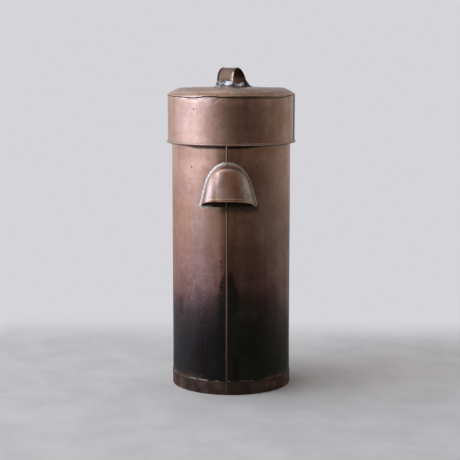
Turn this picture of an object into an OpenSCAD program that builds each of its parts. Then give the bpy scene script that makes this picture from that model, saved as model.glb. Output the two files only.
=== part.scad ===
// Copper sterilization drum: a tall rolled-sheet vessel that stands over a fire, with a deep slip-on
// lid, two cup grips, a lift-out grate that makes the water space, and a perforated basket on it.
// Millimetres, +Z up. The origin is on the floor, on the drum's axis. The front grip faces -Y.

/* [Drum wall] */
// Outer radius of the rolled wall
body_r = 120; // [105:1:140]
// Thickness of the wall sheet
body_t = 0.9; // [0.7:0.1:1.2]
// Height of the drum from the floor to the top of its rolled rim
body_h = 592.9; // [540:0.1:680]
// Radius of the wire in the wall's rolled rim
rim_wire_r = 1.8; // [1.4:0.1:2.4]
// Height of the foot band below the bottom plate
foot_h = 28; // [20:1:36]
// How far the foot band stands out from the wall
foot_step = 0.8; // [0.5:0.1:1.2]
// Width of the folded seam down the wall
seam_w = 4.4; // [3:0.2:7]
// How far the wall's folded seam stands out
seam_proud = 1.3; // [0.8:0.1:1.8]
// Turn of the wall's seam away from the front grip, in degrees
seam_turn = -1.4; // [-6:0.2:6]

/* [Bottom] */
// Thickness of the bottom plate
bottom_t = 1.2; // [0.9:0.1:2]
// Height of the folded edge at the foot of the bottom plate's flange
bottom_hem_h = 8; // [4:1:12]
// Leg of the solder fillet inside the bottom joint
bottom_fillet = 4; // [2:0.5:6]
// Height of the broken solder line above the foot band
base_solder_h = 1.2; // [1:0.2:3]

/* [Cup grips] */
// Width of a grip where it meets the wall
grip_w = 105; // [90:1:120]
// Height of a grip from the ends of its mouth to its crown
grip_h = 80; // [64:1:96]
// How much narrower a grip is at its crown than at its mouth, as a share
grip_taper = 0.36; // [0.3:0.02:0.5]
// How far a grip stands out from the wall
grip_depth = 38; // [30:1:46]
// Height of the mouth's ends above the floor
grip_z = 376; // [300:1:390]
// How much higher the mouth's lip is than its ends
grip_lip_rise = 13.6; // [6:0.2:18]
// Thickness of the grip sheet
grip_t = 1; // [0.8:0.1:1.4]
// How far the folded lip stands out from the grip sheet
grip_hem = 0.9; // [0.4:0.1:1.2]
// Height of the folded lip
grip_hem_h = 4.6; // [3:0.2:7]
// Width of the solder band at the sides of a grip
grip_solder_w = 6.4; // [4:0.2:9]
// Width of the solder band over the crown of a grip
grip_solder_top = 7.6; // [6:0.2:12]
// Height of the solder fillet up the flank of a grip
grip_solder_rise = 2.6; // [1.6:0.1:3.4]

/* [Lid] */
// Thickness of the lid's sheet
lid_t = 0.7; // [0.5:0.1:1]
// Length of the skirt from the lid's edge down to the centre of its rolled bead
skirt_l = 94.7; // [60:0.1:110]
// Radius of the wire in the skirt's bead
lid_wire_r = 1.5; // [1.2:0.1:2]
// Radial clearance between the skirt's bead and the drum's rolled rim
lid_clear = 1.2; // [0.8:0.1:2.5]
// Width of the lid's rounded shoulder
shoulder_w = 28; // [24:1:40]
// Rise of the lid's rounded shoulder
shoulder_rise = 13.2; // [8:0.2:16]
// Extra rise of the crown inside the shoulder
crown_rise = 0.6; // [0.4:0.1:3]
// Radius of the flat middle of the lid, where the handle stands
flat_r = 62; // [56:1:74]
// Height of the lid's turned-down edge
edge_h = 2.8; // [1.8:0.2:5]
// Width of the folded seam down the skirt
lid_seam_w = 5; // [3:0.2:8]
// How far the skirt's folded seam stands out
lid_seam_proud = 1.1; // [0.6:0.1:1.4]
// Where the skirt's seam is, in degrees from the front towards +X
lid_seam_turn = 82; // [60:1:120]
// Leg of the solder fillet inside the lid's edge
lid_fillet = 1.6; // [1:0.1:2]

/* [Lid handle] */
// Length of the strap handle from foot to foot
handle_l = 84; // [72:1:92]
// Height of the strap handle
handle_h = 39.2; // [32:0.2:50]
// Width of the strap
handle_w = 33; // [26:1:40]
// Thickness of the strap
handle_t = 1.3; // [1:0.1:1.8]
// Width of the strap's folded edges
handle_hem_w = 3; // [2:0.2:4.5]
// How far the folded edges stand out on each side of the strap
handle_hem = 0.6; // [0.3:0.1:0.9]
// How far the top of the arch leans towards the near foot
handle_lean = 12; // [0:1:16]
// How far the handle stands to one side of the lid's middle
handle_x = 2.5; // [-6:0.5:6]
// Turn of the handle on the lid, in degrees
handle_turn = -18; // [-90:1:90]
// Length of the feet under the solder
handle_foot = 7; // [4:1:10]
// Height of the solder heaped round the handle's feet
handle_solder_h = 5; // [3:0.5:8]
// Height of the solder's coat up the strap from each foot
handle_coat_h = 13; // [8:0.5:16]
// Thickness of that coat
handle_coat_t = 1.4; // [1.2:0.1:1.8]

/* [Grate] */
// Height of the grate's plate above the bottom plate
grate_h = 74; // [50:1:110]
// Thickness of the grate's plate
grate_t = 1.2; // [1:0.1:2]
// Gap between the grate's rim and the drum wall
grate_gap = 6; // [3:0.5:9]
// Height of the grate's turned-down rim
grate_rim_h = 18; // [14:1:24]
// Radius of the steam holes in the grate
steam_hole_r = 6; // [4:0.5:7]
// Radius of the two finger holes in the grate
finger_hole_r = 12; // [10:0.5:13]
// Width of a grate leg
leg_w = 20; // [14:1:26]
// Thickness of a grate leg
leg_t = 2; // [1.5:0.1:3]

/* [Basket] */
// Gap between the basket's wall and the drum wall
basket_gap = 11; // [9:0.5:14]
// Height of the basket
basket_h = 366; // [300:1:366]
// Thickness of the basket sheet
basket_t = 0.8; // [0.6:0.1:1.2]
// Radius of the wire in the basket's rim
basket_wire_r = 1.4; // [1:0.1:1.8]
// Radius of the holes in the basket
basket_hole_r = 5; // [3:0.5:6]
// Rows of holes round the basket's wall
basket_rows = 8; // [5:1:10]
// Diameter of the bail's wire
bail_d = 5; // [4:0.5:6]
// Width of a bail ear
ear_w = 22; // [18:1:28]
// Thickness of a bail ear
ear_t = 2; // [1.5:0.1:2.5]
// Height of a bail ear below the rim
ear_drop = 30; // [26:1:40]

/* [Fits] */
// Gap round each wire in its rolled edge
wire_gap = 0.05; // [0.02:0.01:0.1]
// Gap between soldered pieces
joint_gap = 0.1; // [0.05:0.05:0.2]
// Gap between a grip and the solder round it
grip_gap = 0.35; // [0.3:0.05:0.5]
// Gap under each piece that lifts off
seat_gap = 0.3; // [0.2:0.05:0.4]
// Radial gap round a rivet or a bail end in its hole
pin_gap = 0.08; // [0.04:0.02:0.1]
// Radius of every rivet's shank
rivet_r = 2; // [1.5:0.1:2.5]

/* [Hidden] */
$fn = 96;

// Drum wall
body_in_r = body_r - body_t;
rim_curl_r = rim_wire_r + wire_gap + body_t;
rim_c_r = body_in_r + rim_curl_r;
rim_c_z = body_h - rim_curl_r;
rim_out_r = rim_c_r + rim_curl_r;
foot_r = body_r + foot_step;
foot_slope = 1.6;
shoulder_z = foot_h - foot_slope;
seam_top_z = rim_c_z - rim_curl_r - 2;

// Bottom
bottom_z = shoulder_z - joint_gap;
bottom_r = foot_r - body_t - joint_gap;
base_solder_turns = [[-41, -31], [-29.5, -19.5], [0.5, 3], [11, 24], [35, 50], [53, 59],
                     [92, 108], [141, 149], [171, 190], [214, 221], [250, 266], [288, 297]];

// Grips. The two outline exponents round the crown of the hood and of the solder round it.
hood_outline = 5.5;
solder_outline = 4.7;
hood_squareness = 3;
hood_straight = 9;
grip_wall_r = body_r + joint_gap;
grip_steps = 16;

// Lid
lid_curl_r = lid_wire_r + wire_gap + lid_t;
skirt_r = rim_out_r + lid_clear + lid_curl_r;
lid_edge_r = skirt_r + joint_gap / 2 + lid_t;
shoulder_r = skirt_r - shoulder_w;
shoulder_power = 1.5;
edge_roll = 0.8;
seat_slope = atan(shoulder_rise * shoulder_power / shoulder_w
                  * pow((rim_c_r - shoulder_r) / shoulder_w, shoulder_power - 1));
seat_r = rim_c_r + rim_curl_r * sin(seat_slope);
seat_z = rim_c_z + rim_curl_r * cos(seat_slope) + seat_gap;
lid_z = seat_z + lid_t / cos(seat_slope) - lid_rise(seat_r);
lid_flat_z = lid_z + lid_rise(0);
bead_z = lid_z - skirt_l;

// Grate and basket
grate_r = body_in_r - grate_gap;
grate_z = bottom_z + grate_h;
basket_r = body_in_r - basket_gap;
basket_z = grate_z + seat_gap;
basket_in_r = basket_r - basket_t;
basket_curl_r = basket_wire_r + wire_gap + basket_t;
basket_curl_c = basket_in_r + basket_curl_r;
basket_rim_z = basket_z + basket_h - basket_curl_r;
basket_top_z = basket_z + basket_h;
basket_flange_h = 5;
row_holes = 14;
bail_r = basket_r + 2;
bail_z = basket_top_z + bail_d / 2 + seat_gap;
ear_gap = 0.8;
ear_x = basket_in_r - ear_gap - ear_t;
ear_top = bail_z + ear_w / 2;
ear_rivet_drop = [14, 23];
ear_rivet_z = [for (drop = ear_rivet_drop) basket_top_z - drop];
rivet_head_h = 1.2;
bail_end_x = ear_x - 5;
bail_head_r = bail_d / 2 + 1.6;
bail_head_h = 1.6;

// Height of the lid's outer face above its edge, at a radius
function lid_rise(r) =
    let (out = min(1, max(0, (r - shoulder_r) / shoulder_w)),
         inward = min(1, max(0, (shoulder_r - r) / (shoulder_r - flat_r))))
    shoulder_rise * (1 - pow(out, shoulder_power)) + crown_rise * sin(90 * inward);

// A ring of round section
module ring(r, z, section_r) {
    rotate_extrude($fn = 128)
        translate([r, z])
            circle(section_r, $fn = 32);
}

// A round rivet along X, with a domed head at each end
module rivet(x0, x1) {
    translate([x0, 0, 0])
        rotate([0, 90, 0])
            cylinder(r = rivet_r, h = x1 - x0, $fn = 24);
    for (x = [x0 - rivet_head_h, x1])
        translate([x, 0, 0])
            rotate([0, 90, 0])
                cylinder(r = rivet_r * 1.8, h = rivet_head_h, $fn = 24);
}

// Holes of one radius on circles: each entry of rings is [circle radius, number of holes]
module hole_rings(rings, hole_r, z0, h) {
    for (circle_of = rings)
        for (i = [0 : circle_of[1] - 1])
            rotate([0, 0, i * 360 / circle_of[1]])
                translate([circle_of[0], 0, z0])
                    cylinder(r = hole_r, h = h, $fn = 32);
}

// ---- Drum ----

// The rolled wall, with its outward curl at the top and the foot band set out at the bottom
module body_wall() {
    color("#8a5a48")
        rotate_extrude($fn = 128)
            difference() {
                union() {
                    polygon([[foot_r - body_t, 0], [foot_r, 0], [foot_r, shoulder_z],
                             [body_r, foot_h], [body_r, rim_c_z], [body_in_r, rim_c_z],
                             [body_in_r, foot_h], [foot_r - body_t, shoulder_z]]);
                    translate([rim_c_r, rim_c_z])
                        circle(rim_curl_r, $fn = 32);
                }
                translate([rim_c_r, rim_c_z])
                    circle(rim_wire_r + wire_gap, $fn = 32);
            }
}

// A bar along the wall's seam, out to a radius and wider than the seam by a margin on each side
module seam_bar(reach, margin) {
    rotate([0, 0, seam_turn])
        translate([-seam_w / 2 - margin, -reach, 0])
            cube([seam_w + 2 * margin, reach - body_r * 0.8, seam_top_z]);
}

// The wall's folded seam: a raised fold from the floor edge to just below the rolled rim
module body_seam() {
    color("#a87862")
        difference() {
            intersection() {
                seam_bar(foot_r + seam_proud + 1, 0);
                union() {
                    cylinder(r = body_r + seam_proud, h = body_h, $fn = 128);
                    cylinder(r = foot_r + seam_proud, h = foot_h, $fn = 128);
                }
            }
            translate([0, 0, -1])
                cylinder(r = body_r + joint_gap / 2, h = body_h + 2, $fn = 128);
            translate([0, 0, -1])
                cylinder(r = foot_r + joint_gap / 2, h = foot_h + 1 + joint_gap, $fn = 128);
        }
}

module body_rim_wire() {
    color("#6d6a66")
        ring(rim_c_r, rim_c_z, rim_wire_r);
}

// The bottom plate, pushed up to the shoulder from below, with its flange folded at the floor
module bottom_plate() {
    in_r = bottom_r - bottom_t;
    hem_r = in_r - bottom_t;
    color("#5c463c")
        rotate_extrude($fn = 128)
            polygon([[0, bottom_z - bottom_t], [in_r, bottom_z - bottom_t], [in_r, bottom_hem_h],
                     [hem_r, bottom_hem_h], [hem_r, 0], [bottom_r, 0], [bottom_r, bottom_z],
                     [0, bottom_z]]);
}

// The solder fillet inside, between the bottom plate and the wall
module bottom_solder() {
    r = body_in_r - joint_gap / 2;
    z = bottom_z + joint_gap / 2;
    color("#9a9a98")
        rotate_extrude($fn = 128)
            polygon([[r - bottom_fillet, z], [r, z], [r, z + bottom_fillet]]);
}

// What is left of the solder outside, in broken arcs on the foot band's shoulder
module base_solder_line() {
    r = body_r + joint_gap / 2;
    color("#8f8d86")
        for (turns = base_solder_turns)
            rotate([0, 0, turns[0] - 90])
                rotate_extrude(angle = turns[1] - turns[0], $fn = 96)
                    polygon([[r, foot_h + joint_gap], [foot_r, shoulder_z + joint_gap],
                             [r + foot_step / 3, foot_h + base_solder_h * 0.7],
                             [r, foot_h + base_solder_h]]);
}

// ---- Cup grips ----

// Share of the full width that is left at a share of the full height
function arch(t, power, taper) = (1 - taper * t) * sqrt(max(0, 1 - pow(t, power)));

// Share of the full height that is reached at a distance up the sheet from the lip
function rise(up) = sin(88.6 * up / grip_h);

// Depth across a section, at a share of its half-width
function section(x) = pow(max(0, 1 - pow(abs(x), hood_squareness)), 1 / hood_squareness);

// A point that stands a depth proud of the wall
function on_wall(x, depth, z) = [x, -sqrt(grip_wall_r * grip_wall_r - x * x) - depth, z];

// A point of the hood's skin, taken in from the outer face by an inset. Across runs from -1 to 1,
// height is millimetres above the lip, from 0 to the crown's full_rise.
function hood_point(across, up, inset) =
    let (x = sin(90 * across),
         low = grip_lip_rise * section(x),
         hem = up < grip_hem_h && inset == 0 ? grip_hem : 0,
         crown = grip_h - inset,
         z = low + (crown - low) * rise(up),
         straight = max(0, (z - hood_straight) / (crown - hood_straight)),
         half = (grip_w / 2 - inset) * arch(min(1, z / crown), hood_outline, grip_taper),
         depth = (grip_depth - inset + hem) * sqrt(max(0, 1 - straight * straight)))
    on_wall(half * x, depth * section(x), grip_z + z);

// Heights of the rows of points: the folded lip has two of its own
hood_rows = concat([0, grip_hem_h * 0.98, grip_hem_h * 1.1],
                   [for (i = [3 : grip_steps]) grip_h * i / grip_steps]);

// The hood's sheet: an outer and an inner skin, closed along the lip and the wall
module hood() {
    rows = len(hood_rows);
    cols = 2 * grip_steps + 1;
    skin = rows * cols;
    function at(s, row, col) = s * skin + row * cols + col;
    points = [for (s = [0, 1]) for (up = hood_rows) for (col = [0 : cols - 1])
                  hood_point(col / grip_steps - 1, up, s * grip_t)];
    skins = [for (s = [0, 1]) for (r = [0 : rows - 2]) for (c = [0 : cols - 2])
                 let (a = at(s, r, c), b = at(s, r, c + 1), d = at(s, r + 1, c), e = at(s, r + 1, c + 1))
                 each s == 0 ? [[a, d, b], [b, d, e]] : [[a, b, d], [b, e, d]]];
    lip = [for (c = [0 : cols - 2])
               each [[at(0, 0, c), at(0, 0, c + 1), at(1, 0, c)],
                     [at(0, 0, c + 1), at(1, 0, c + 1), at(1, 0, c)]]];
    crown = [for (c = [0 : cols - 2])
                 each [[at(0, rows - 1, c), at(1, rows - 1, c), at(0, rows - 1, c + 1)],
                       [at(0, rows - 1, c + 1), at(1, rows - 1, c), at(1, rows - 1, c + 1)]]];
    sides = [for (r = [0 : rows - 2]) each
                 [[at(0, r, 0), at(1, r, 0), at(0, r + 1, 0)],
                  [at(0, r + 1, 0), at(1, r, 0), at(1, r + 1, 0)],
                  [at(0, r, cols - 1), at(0, r + 1, cols - 1), at(1, r, cols - 1)],
                  [at(0, r + 1, cols - 1), at(1, r + 1, cols - 1), at(1, r, cols - 1)]]];
    polyhedron(points, concat(skins, lip, crown, sides));
}

// A point on an outline round the grip. A spot is [side, distance up the sheet].
function outline_point(spot, half, low, high, power, depth) =
    let (t = rise(spot[1]))
    on_wall(spot[0] * half * arch(t, power, grip_taper), depth, grip_z + low + (high - low) * t);

// The solder band round the hood, from a thin outer edge up to a fillet on the hood's flank
module hood_solder() {
    in_half = grip_w / 2 + grip_gap;
    in_high = grip_h + grip_gap;
    out_half = grip_w / 2 + grip_solder_w;
    out_high = grip_h + grip_solder_top;
    edge = 0.5;
    rows = len(hood_rows);
    spots = concat([for (up = hood_rows) [-1, up]],
                   [for (i = [rows - 1 : -1 : 0]) [1, hood_rows[i]]]);
    points = [for (spot = spots)
                  each [outline_point(spot, in_half, 0, in_high, hood_outline, 0),
                        outline_point(spot, in_half, 0, in_high, hood_outline, grip_solder_rise),
                        outline_point(spot, out_half, 3, out_high, solder_outline, edge),
                        outline_point(spot, out_half, 3, out_high, solder_outline, 0)]];
    last = 4 * (len(spots) - 1);
    bands = [for (i = [0 : len(spots) - 2]) for (k = [0 : 3])
                 let (a = 4 * i + k, b = 4 * i + (k + 1) % 4)
                 each [[a, b, a + 4], [b, b + 4, a + 4]]];
    ends = [[2, 1, 0], [3, 2, 0], [last, last + 1, last + 2], [last, last + 2, last + 3]];
    polyhedron(points, concat(bands, ends));
}

module front_grip() {
    color("#a06a55")
        difference() {
            hood();
            seam_bar(body_r + seam_proud + joint_gap, joint_gap);
        }
}

module front_grip_solder() {
    color("#a3a7a4")
        difference() {
            hood_solder();
            seam_bar(body_r + seam_proud + joint_gap, joint_gap);
        }
}

module rear_grip() {
    color("#a06a55")
        rotate([0, 0, 180])
            hood();
}

module rear_grip_solder() {
    color("#a3a7a4")
        rotate([0, 0, 180])
            hood_solder();
}

// ---- Lid ----

// The lid's top sheet, with its edge turned down over the skirt
module lid_top() {
    steps = 12;
    radii = concat([0, flat_r], [for (i = [1 : 3]) flat_r + (shoulder_r - flat_r) * i / 3],
                   [for (i = [1 : steps]) shoulder_r + shoulder_w * i / steps]);
    last = len(radii) - 1;
    outer = [for (r = radii) [r, lid_z + lid_rise(r)]];
    inner = [for (i = [last : -1 : 0]) [radii[i], outer[i][1] - lid_t]];
    turned = [[lid_edge_r, lid_z - edge_roll], [lid_edge_r, lid_z - edge_h],
              [skirt_r + joint_gap / 2, lid_z - edge_h], [skirt_r + joint_gap / 2, lid_z - lid_t]];
    color("#93695a")
        rotate_extrude($fn = 128)
            polygon(concat(outer, turned, inner));
}

// The skirt, with a bead rolled round a wire at its lower edge
module lid_skirt() {
    color("#9a6a58")
        rotate_extrude($fn = 128)
            difference() {
                union() {
                    translate([skirt_r - lid_t, bead_z])
                        square([lid_t, skirt_l - lid_t - joint_gap]);
                    translate([skirt_r, bead_z])
                        circle(lid_curl_r, $fn = 32);
                }
                translate([skirt_r, bead_z])
                    circle(lid_wire_r + wire_gap, $fn = 32);
            }
}

// The skirt's folded seam, from the bead to the turned-down edge
module lid_skirt_seam() {
    z0 = bead_z + lid_curl_r + joint_gap;
    z1 = lid_z - edge_h - joint_gap;
    color("#6f5146")
        intersection() {
            rotate([0, 0, lid_seam_turn])
                translate([-lid_seam_w / 2, -skirt_r - lid_seam_proud - 1, z0])
                    cube([lid_seam_w, skirt_r / 2, z1 - z0]);
            difference() {
                cylinder(r = skirt_r + lid_seam_proud, h = lid_z, $fn = 128);
                translate([0, 0, -1])
                    cylinder(r = skirt_r + joint_gap / 2, h = lid_z + 2, $fn = 128);
            }
        }
}

module lid_rim_wire() {
    color("#6d6a66")
        ring(skirt_r, bead_z, lid_wire_r);
}

// The solder fillet inside the lid, between the top sheet and the skirt
module lid_edge_solder() {
    r = skirt_r - lid_t - joint_gap / 2;
    z = lid_z - lid_t - joint_gap;
    color("#9a9a98")
        rotate_extrude($fn = 128)
            polygon([[r - lid_fillet, z], [r, z - lid_fillet], [r, z]]);
}

// The strap's arch seen along its width, with both faces moved out by a growth
module handle_arch(grow) {
    steps = 24;
    outer = [for (i = [0 : steps])
                 let (a = 180 * i / steps)
                 [(handle_l / 2 + grow) * cos(a) - handle_lean * sin(a), (handle_h + grow) * sin(a)]];
    in = handle_t + grow;
    inner = [for (i = [steps : -1 : 0])
                 let (a = 180 * i / steps)
                 [(handle_l / 2 - in) * cos(a) - handle_lean * sin(a), (handle_h - in) * sin(a)]];
    polygon(concat(outer, inner));
}

// The strap handle: folded edges stiffen both sides, and a foot at each end lies on the lid
module handle_strap(grow) {
    for (band = [[0, handle_w, grow], [0, handle_hem_w, handle_hem + grow],
                 [handle_w - handle_hem_w, handle_hem_w, handle_hem + grow]])
        translate([0, handle_w / 2 - band[0], 0])
            rotate([90, 0, 0])
                linear_extrude(band[1])
                    handle_arch(band[2]);
    for (side = [-1, 1])
        translate([side * (handle_l / 2 + handle_foot / 2 - handle_t), 0, handle_t / 2])
            cube([handle_foot, handle_w, handle_t], center = true);
}

// Everything on the lid's flat middle is placed by this
module on_lid() {
    translate([handle_x, 0, lid_flat_z + joint_gap / 2])
        rotate([0, 0, 90 + handle_turn])
            children();
}

module lid_handle() {
    color("#8d6250")
        on_lid()
            intersection() {
                handle_strap(0);
                translate([-handle_l, -handle_w, 0])
                    cube([2 * handle_l, 2 * handle_w, 2 * handle_h]);
            }
}

// A coat of solder on both faces of the strap, up from each foot
module handle_coat() {
    width = handle_w - 1;
    translate([0, width / 2, 0])
        rotate([90, 0, 0])
            linear_extrude(width)
                intersection() {
                    handle_arch(handle_coat_t);
                    translate([-handle_l, 0])
                        square([2 * handle_l, handle_coat_h]);
                }
}

// The solder heaped round each foot of the handle, and the coat that it leaves up the strap
module lid_handle_solder() {
    spread = 5;
    heap_x = handle_foot - 1;
    heap_y = handle_w / 2 - 2;
    foot_x = handle_l / 2 + handle_foot / 2 - handle_t;
    color("#a9adab")
        on_lid()
            difference() {
                union() {
                    handle_coat();
                    for (side = [-1, 1])
                        translate([side * foot_x, 0, 0])
                            hull()
                                for (x = [-1, 1], y = [-1, 1])
                                    translate([x * heap_x, y * heap_y, 0])
                                        cylinder(r1 = spread, r2 = 2, h = handle_solder_h, $fn = 32);
                }
                translate([0, 0, -0.01])
                    handle_strap(joint_gap);
                for (side = [-1, 1])
                    translate([side * foot_x, 0, handle_t / 2])
                        cube([handle_foot + 2 * joint_gap, handle_w + 2 * joint_gap,
                              handle_t + 2 * joint_gap], center = true);
            }
}

// ---- Grate ----

// The legs stand at three places, and the rivets go through them
leg_turns = [30, 150, 270];
leg_in_r = grate_r - grate_t - joint_gap - leg_t;
leg_foot_z = bottom_z + seat_gap;
grate_rivet_z = grate_z - grate_t - (grate_rim_h - grate_t) / 2;

// The perforated plate with a turned-down rim
module grate_plate() {
    pitch = grate_r / 4.6;
    color("#8b8378")
        difference() {
            translate([0, 0, grate_z - grate_rim_h])
                cylinder(r = grate_r, h = grate_rim_h, $fn = 128);
            translate([0, 0, grate_z - grate_rim_h - 1])
                cylinder(r = grate_r - grate_t, h = grate_rim_h - grate_t + 1, $fn = 128);
            hole_rings([[pitch, 6], [2 * pitch, 12], [4 * pitch - steam_hole_r / 2, 24]],
                       steam_hole_r, grate_z - grate_t - 1, grate_t + 2);
            for (i = [0 : 17])
                rotate([0, 0, 10 + 20 * i])
                    translate([3 * pitch, 0, grate_z - grate_t - 1])
                        cylinder(r = i % 9 == 0 ? finger_hole_r : steam_hole_r, h = grate_t + 2,
                                 $fn = 48);
            for (turn = leg_turns)
                rotate([0, 0, turn])
                    translate([grate_r - 2 * grate_t, 0, grate_rivet_z])
                        rotate([0, 90, 0])
                            cylinder(r = rivet_r + pin_gap, h = 4 * grate_t, $fn = 24);
        }
}

// Three strap legs inside the grate's rim
module grate_legs() {
    color("#8b8378")
        for (turn = leg_turns)
            rotate([0, 0, turn])
                difference() {
                    intersection() {
                        difference() {
                            cylinder(r = leg_in_r + leg_t, h = grate_z, $fn = 128);
                            translate([0, 0, -1])
                                cylinder(r = leg_in_r, h = grate_z + 2, $fn = 128);
                        }
                        translate([0, -leg_w / 2, leg_foot_z])
                            cube([grate_r, leg_w, grate_z - grate_t - joint_gap - leg_foot_z]);
                    }
                    translate([leg_in_r - 1, 0, grate_rivet_z])
                        rotate([0, 90, 0])
                            cylinder(r = rivet_r + pin_gap, h = leg_t + 2, $fn = 24);
                }
}

module grate_rivets() {
    color("#a87862")
        for (turn = leg_turns)
            rotate([0, 0, turn])
                translate([0, 0, grate_rivet_z])
                    rivet(leg_in_r - joint_gap, grate_r + joint_gap);
}

// ---- Basket ----

// The perforated wall, with its rim rolled out round a wire
module basket_wall() {
    first_row = basket_z + basket_flange_h + 2 * basket_hole_r;
    last_row = basket_top_z - ear_drop - 2 * basket_hole_r;
    color("#b4aca0")
        difference() {
            rotate_extrude($fn = 128)
                difference() {
                    union() {
                        translate([basket_in_r, basket_z])
                            square([basket_t, basket_rim_z - basket_z]);
                        translate([basket_curl_c, basket_rim_z])
                            circle(basket_curl_r, $fn = 32);
                    }
                    translate([basket_curl_c, basket_rim_z])
                        circle(basket_wire_r + wire_gap, $fn = 32);
                }
            for (row = [0 : basket_rows - 1], i = [0 : row_holes - 1])
                rotate([0, 0, (i + (row % 2) / 2) * 360 / row_holes])
                    translate([basket_in_r - 2, 0,
                               first_row + (last_row - first_row) * row / (basket_rows - 1)])
                        rotate([0, 90, 0])
                            cylinder(r = basket_hole_r, h = basket_t + 4, $fn = 32);
            for (turn = [0, 180], z = ear_rivet_z)
                rotate([0, 0, turn])
                    translate([basket_in_r - 2, 0, z])
                        rotate([0, 90, 0])
                            cylinder(r = rivet_r + pin_gap, h = basket_t + 4, $fn = 24);
        }
}

// The perforated bottom, set inside the wall with its flange up
module basket_bottom() {
    r = basket_in_r - joint_gap;
    pitch = basket_r / 4.7;
    color("#b4aca0")
        difference() {
            translate([0, 0, basket_z])
                cylinder(r = r, h = basket_flange_h, $fn = 128);
            translate([0, 0, basket_z + basket_t])
                cylinder(r = r - basket_t, h = basket_flange_h, $fn = 128);
            hole_rings([[pitch, 6], [2 * pitch, 12], [3 * pitch, 18], [4 * pitch, 24]],
                       basket_hole_r, basket_z - 1, basket_t + 2);
        }
}

module basket_rim_wire() {
    color("#6d6a66")
        ring(basket_curl_c, basket_rim_z, basket_wire_r);
}

// Two ears riveted inside the rim, each with a hole for the bail's end
module basket_ears() {
    color("#a9a297")
        for (turn = [0, 180])
            rotate([0, 0, turn])
                difference() {
                    union() {
                        translate([ear_x, -ear_w / 2, basket_top_z - ear_drop])
                            cube([ear_t, ear_w, bail_z - basket_top_z + ear_drop]);
                        translate([ear_x, 0, bail_z])
                            rotate([0, 90, 0])
                                cylinder(r = ear_w / 2, h = ear_t, $fn = 64);
                    }
                    for (hole = [[bail_z, bail_d / 2], for (z = ear_rivet_z) [z, rivet_r]])
                        translate([ear_x - 1, 0, hole[0]])
                            rotate([0, 90, 0])
                                cylinder(r = hole[1] + pin_gap, h = ear_t + 2, $fn = 48);
                }
}

module basket_ear_rivets() {
    color("#a87862")
        for (turn = [0, 180], z = ear_rivet_z)
            rotate([0, 0, turn])
                translate([0, 0, z])
                    rivet(ear_x - joint_gap, basket_r + joint_gap);
}

// The bail, folded down on the rim towards -Y: half a ring, with an end through each ear
module basket_bail() {
    color("#7d7770")
        translate([0, 0, bail_z]) {
            rotate([0, 0, 180])
                rotate_extrude(angle = 180, $fn = 128)
                    translate([bail_r, 0])
                        circle(d = bail_d, $fn = 32);
            for (side = [0, 180])
                rotate([0, 0, side]) {
                    translate([bail_end_x, 0, 0])
                        rotate([0, 90, 0])
                            cylinder(d = bail_d, h = bail_r - bail_end_x, $fn = 32);
                    translate([bail_end_x - bail_head_h, 0, 0])
                        rotate([0, 90, 0])
                            cylinder(r = bail_head_r, h = bail_head_h, $fn = 32);
                    translate([bail_r, 0, 0])
                        sphere(d = bail_d, $fn = 32);
                }
        }
}

body_wall();
body_seam();
body_rim_wire();
bottom_plate();
bottom_solder();
base_solder_line();
front_grip();
front_grip_solder();
rear_grip();
rear_grip_solder();
lid_top();
lid_skirt();
lid_skirt_seam();
lid_rim_wire();
lid_edge_solder();
lid_handle();
lid_handle_solder();
grate_plate();
grate_legs();
grate_rivets();
basket_wall();
basket_bottom();
basket_rim_wire();
basket_ears();
basket_ear_rivets();
basket_bail();
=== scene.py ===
"""An antique copper sterilization drum on a pale studio floor.

Metres, +Z up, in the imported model's frame: the front grip faces -Y. A "turn" is an angle round the
drum's axis, 0 at the front and positive towards +X.
"""

from math import asin, atan2, cos, degrees, exp, hypot, prod, radians, sin, sqrt
from math import pi as PI

import bmesh
import bpy
import numpy as np
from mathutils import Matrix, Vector


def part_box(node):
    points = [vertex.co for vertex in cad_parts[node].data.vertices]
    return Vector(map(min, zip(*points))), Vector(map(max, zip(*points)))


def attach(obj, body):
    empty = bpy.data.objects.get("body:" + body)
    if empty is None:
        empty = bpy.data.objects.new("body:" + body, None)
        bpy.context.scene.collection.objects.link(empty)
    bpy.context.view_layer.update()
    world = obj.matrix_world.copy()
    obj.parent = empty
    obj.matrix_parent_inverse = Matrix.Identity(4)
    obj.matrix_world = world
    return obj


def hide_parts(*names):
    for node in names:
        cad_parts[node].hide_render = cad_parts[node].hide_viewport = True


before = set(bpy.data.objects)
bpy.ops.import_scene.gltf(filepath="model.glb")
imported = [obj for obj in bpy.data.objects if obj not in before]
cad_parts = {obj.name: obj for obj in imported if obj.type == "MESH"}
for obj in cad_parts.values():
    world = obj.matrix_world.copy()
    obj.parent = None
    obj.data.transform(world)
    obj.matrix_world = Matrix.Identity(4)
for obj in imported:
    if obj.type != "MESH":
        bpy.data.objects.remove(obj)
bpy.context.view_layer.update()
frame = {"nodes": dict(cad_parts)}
nodes = frame["nodes"]

MM = 0.001

# ---- Sizes ----

# Wall
WALL_R = 120 * MM
SHEET = 0.9 * MM
FOOT_R = WALL_R + 0.8 * MM
FOOT_H = 28 * MM
SHOULDER_Z = FOOT_H - 1.6 * MM
RIM_R = 2.75 * MM
rim_centre_r = WALL_R - SHEET + RIM_R
rim_centre_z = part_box("body_wall")[1].z - RIM_R
SEAM_TURN = radians(-1.4)
SEAM_W = 4.4 * MM
SEAM_PROUD = 1.3 * MM
RIDGE_SHIFT = 0.44
RIDGE_HALF = 0.389 * SEAM_W
BASE_SOLDER_H = 1.2 * MM

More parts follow.
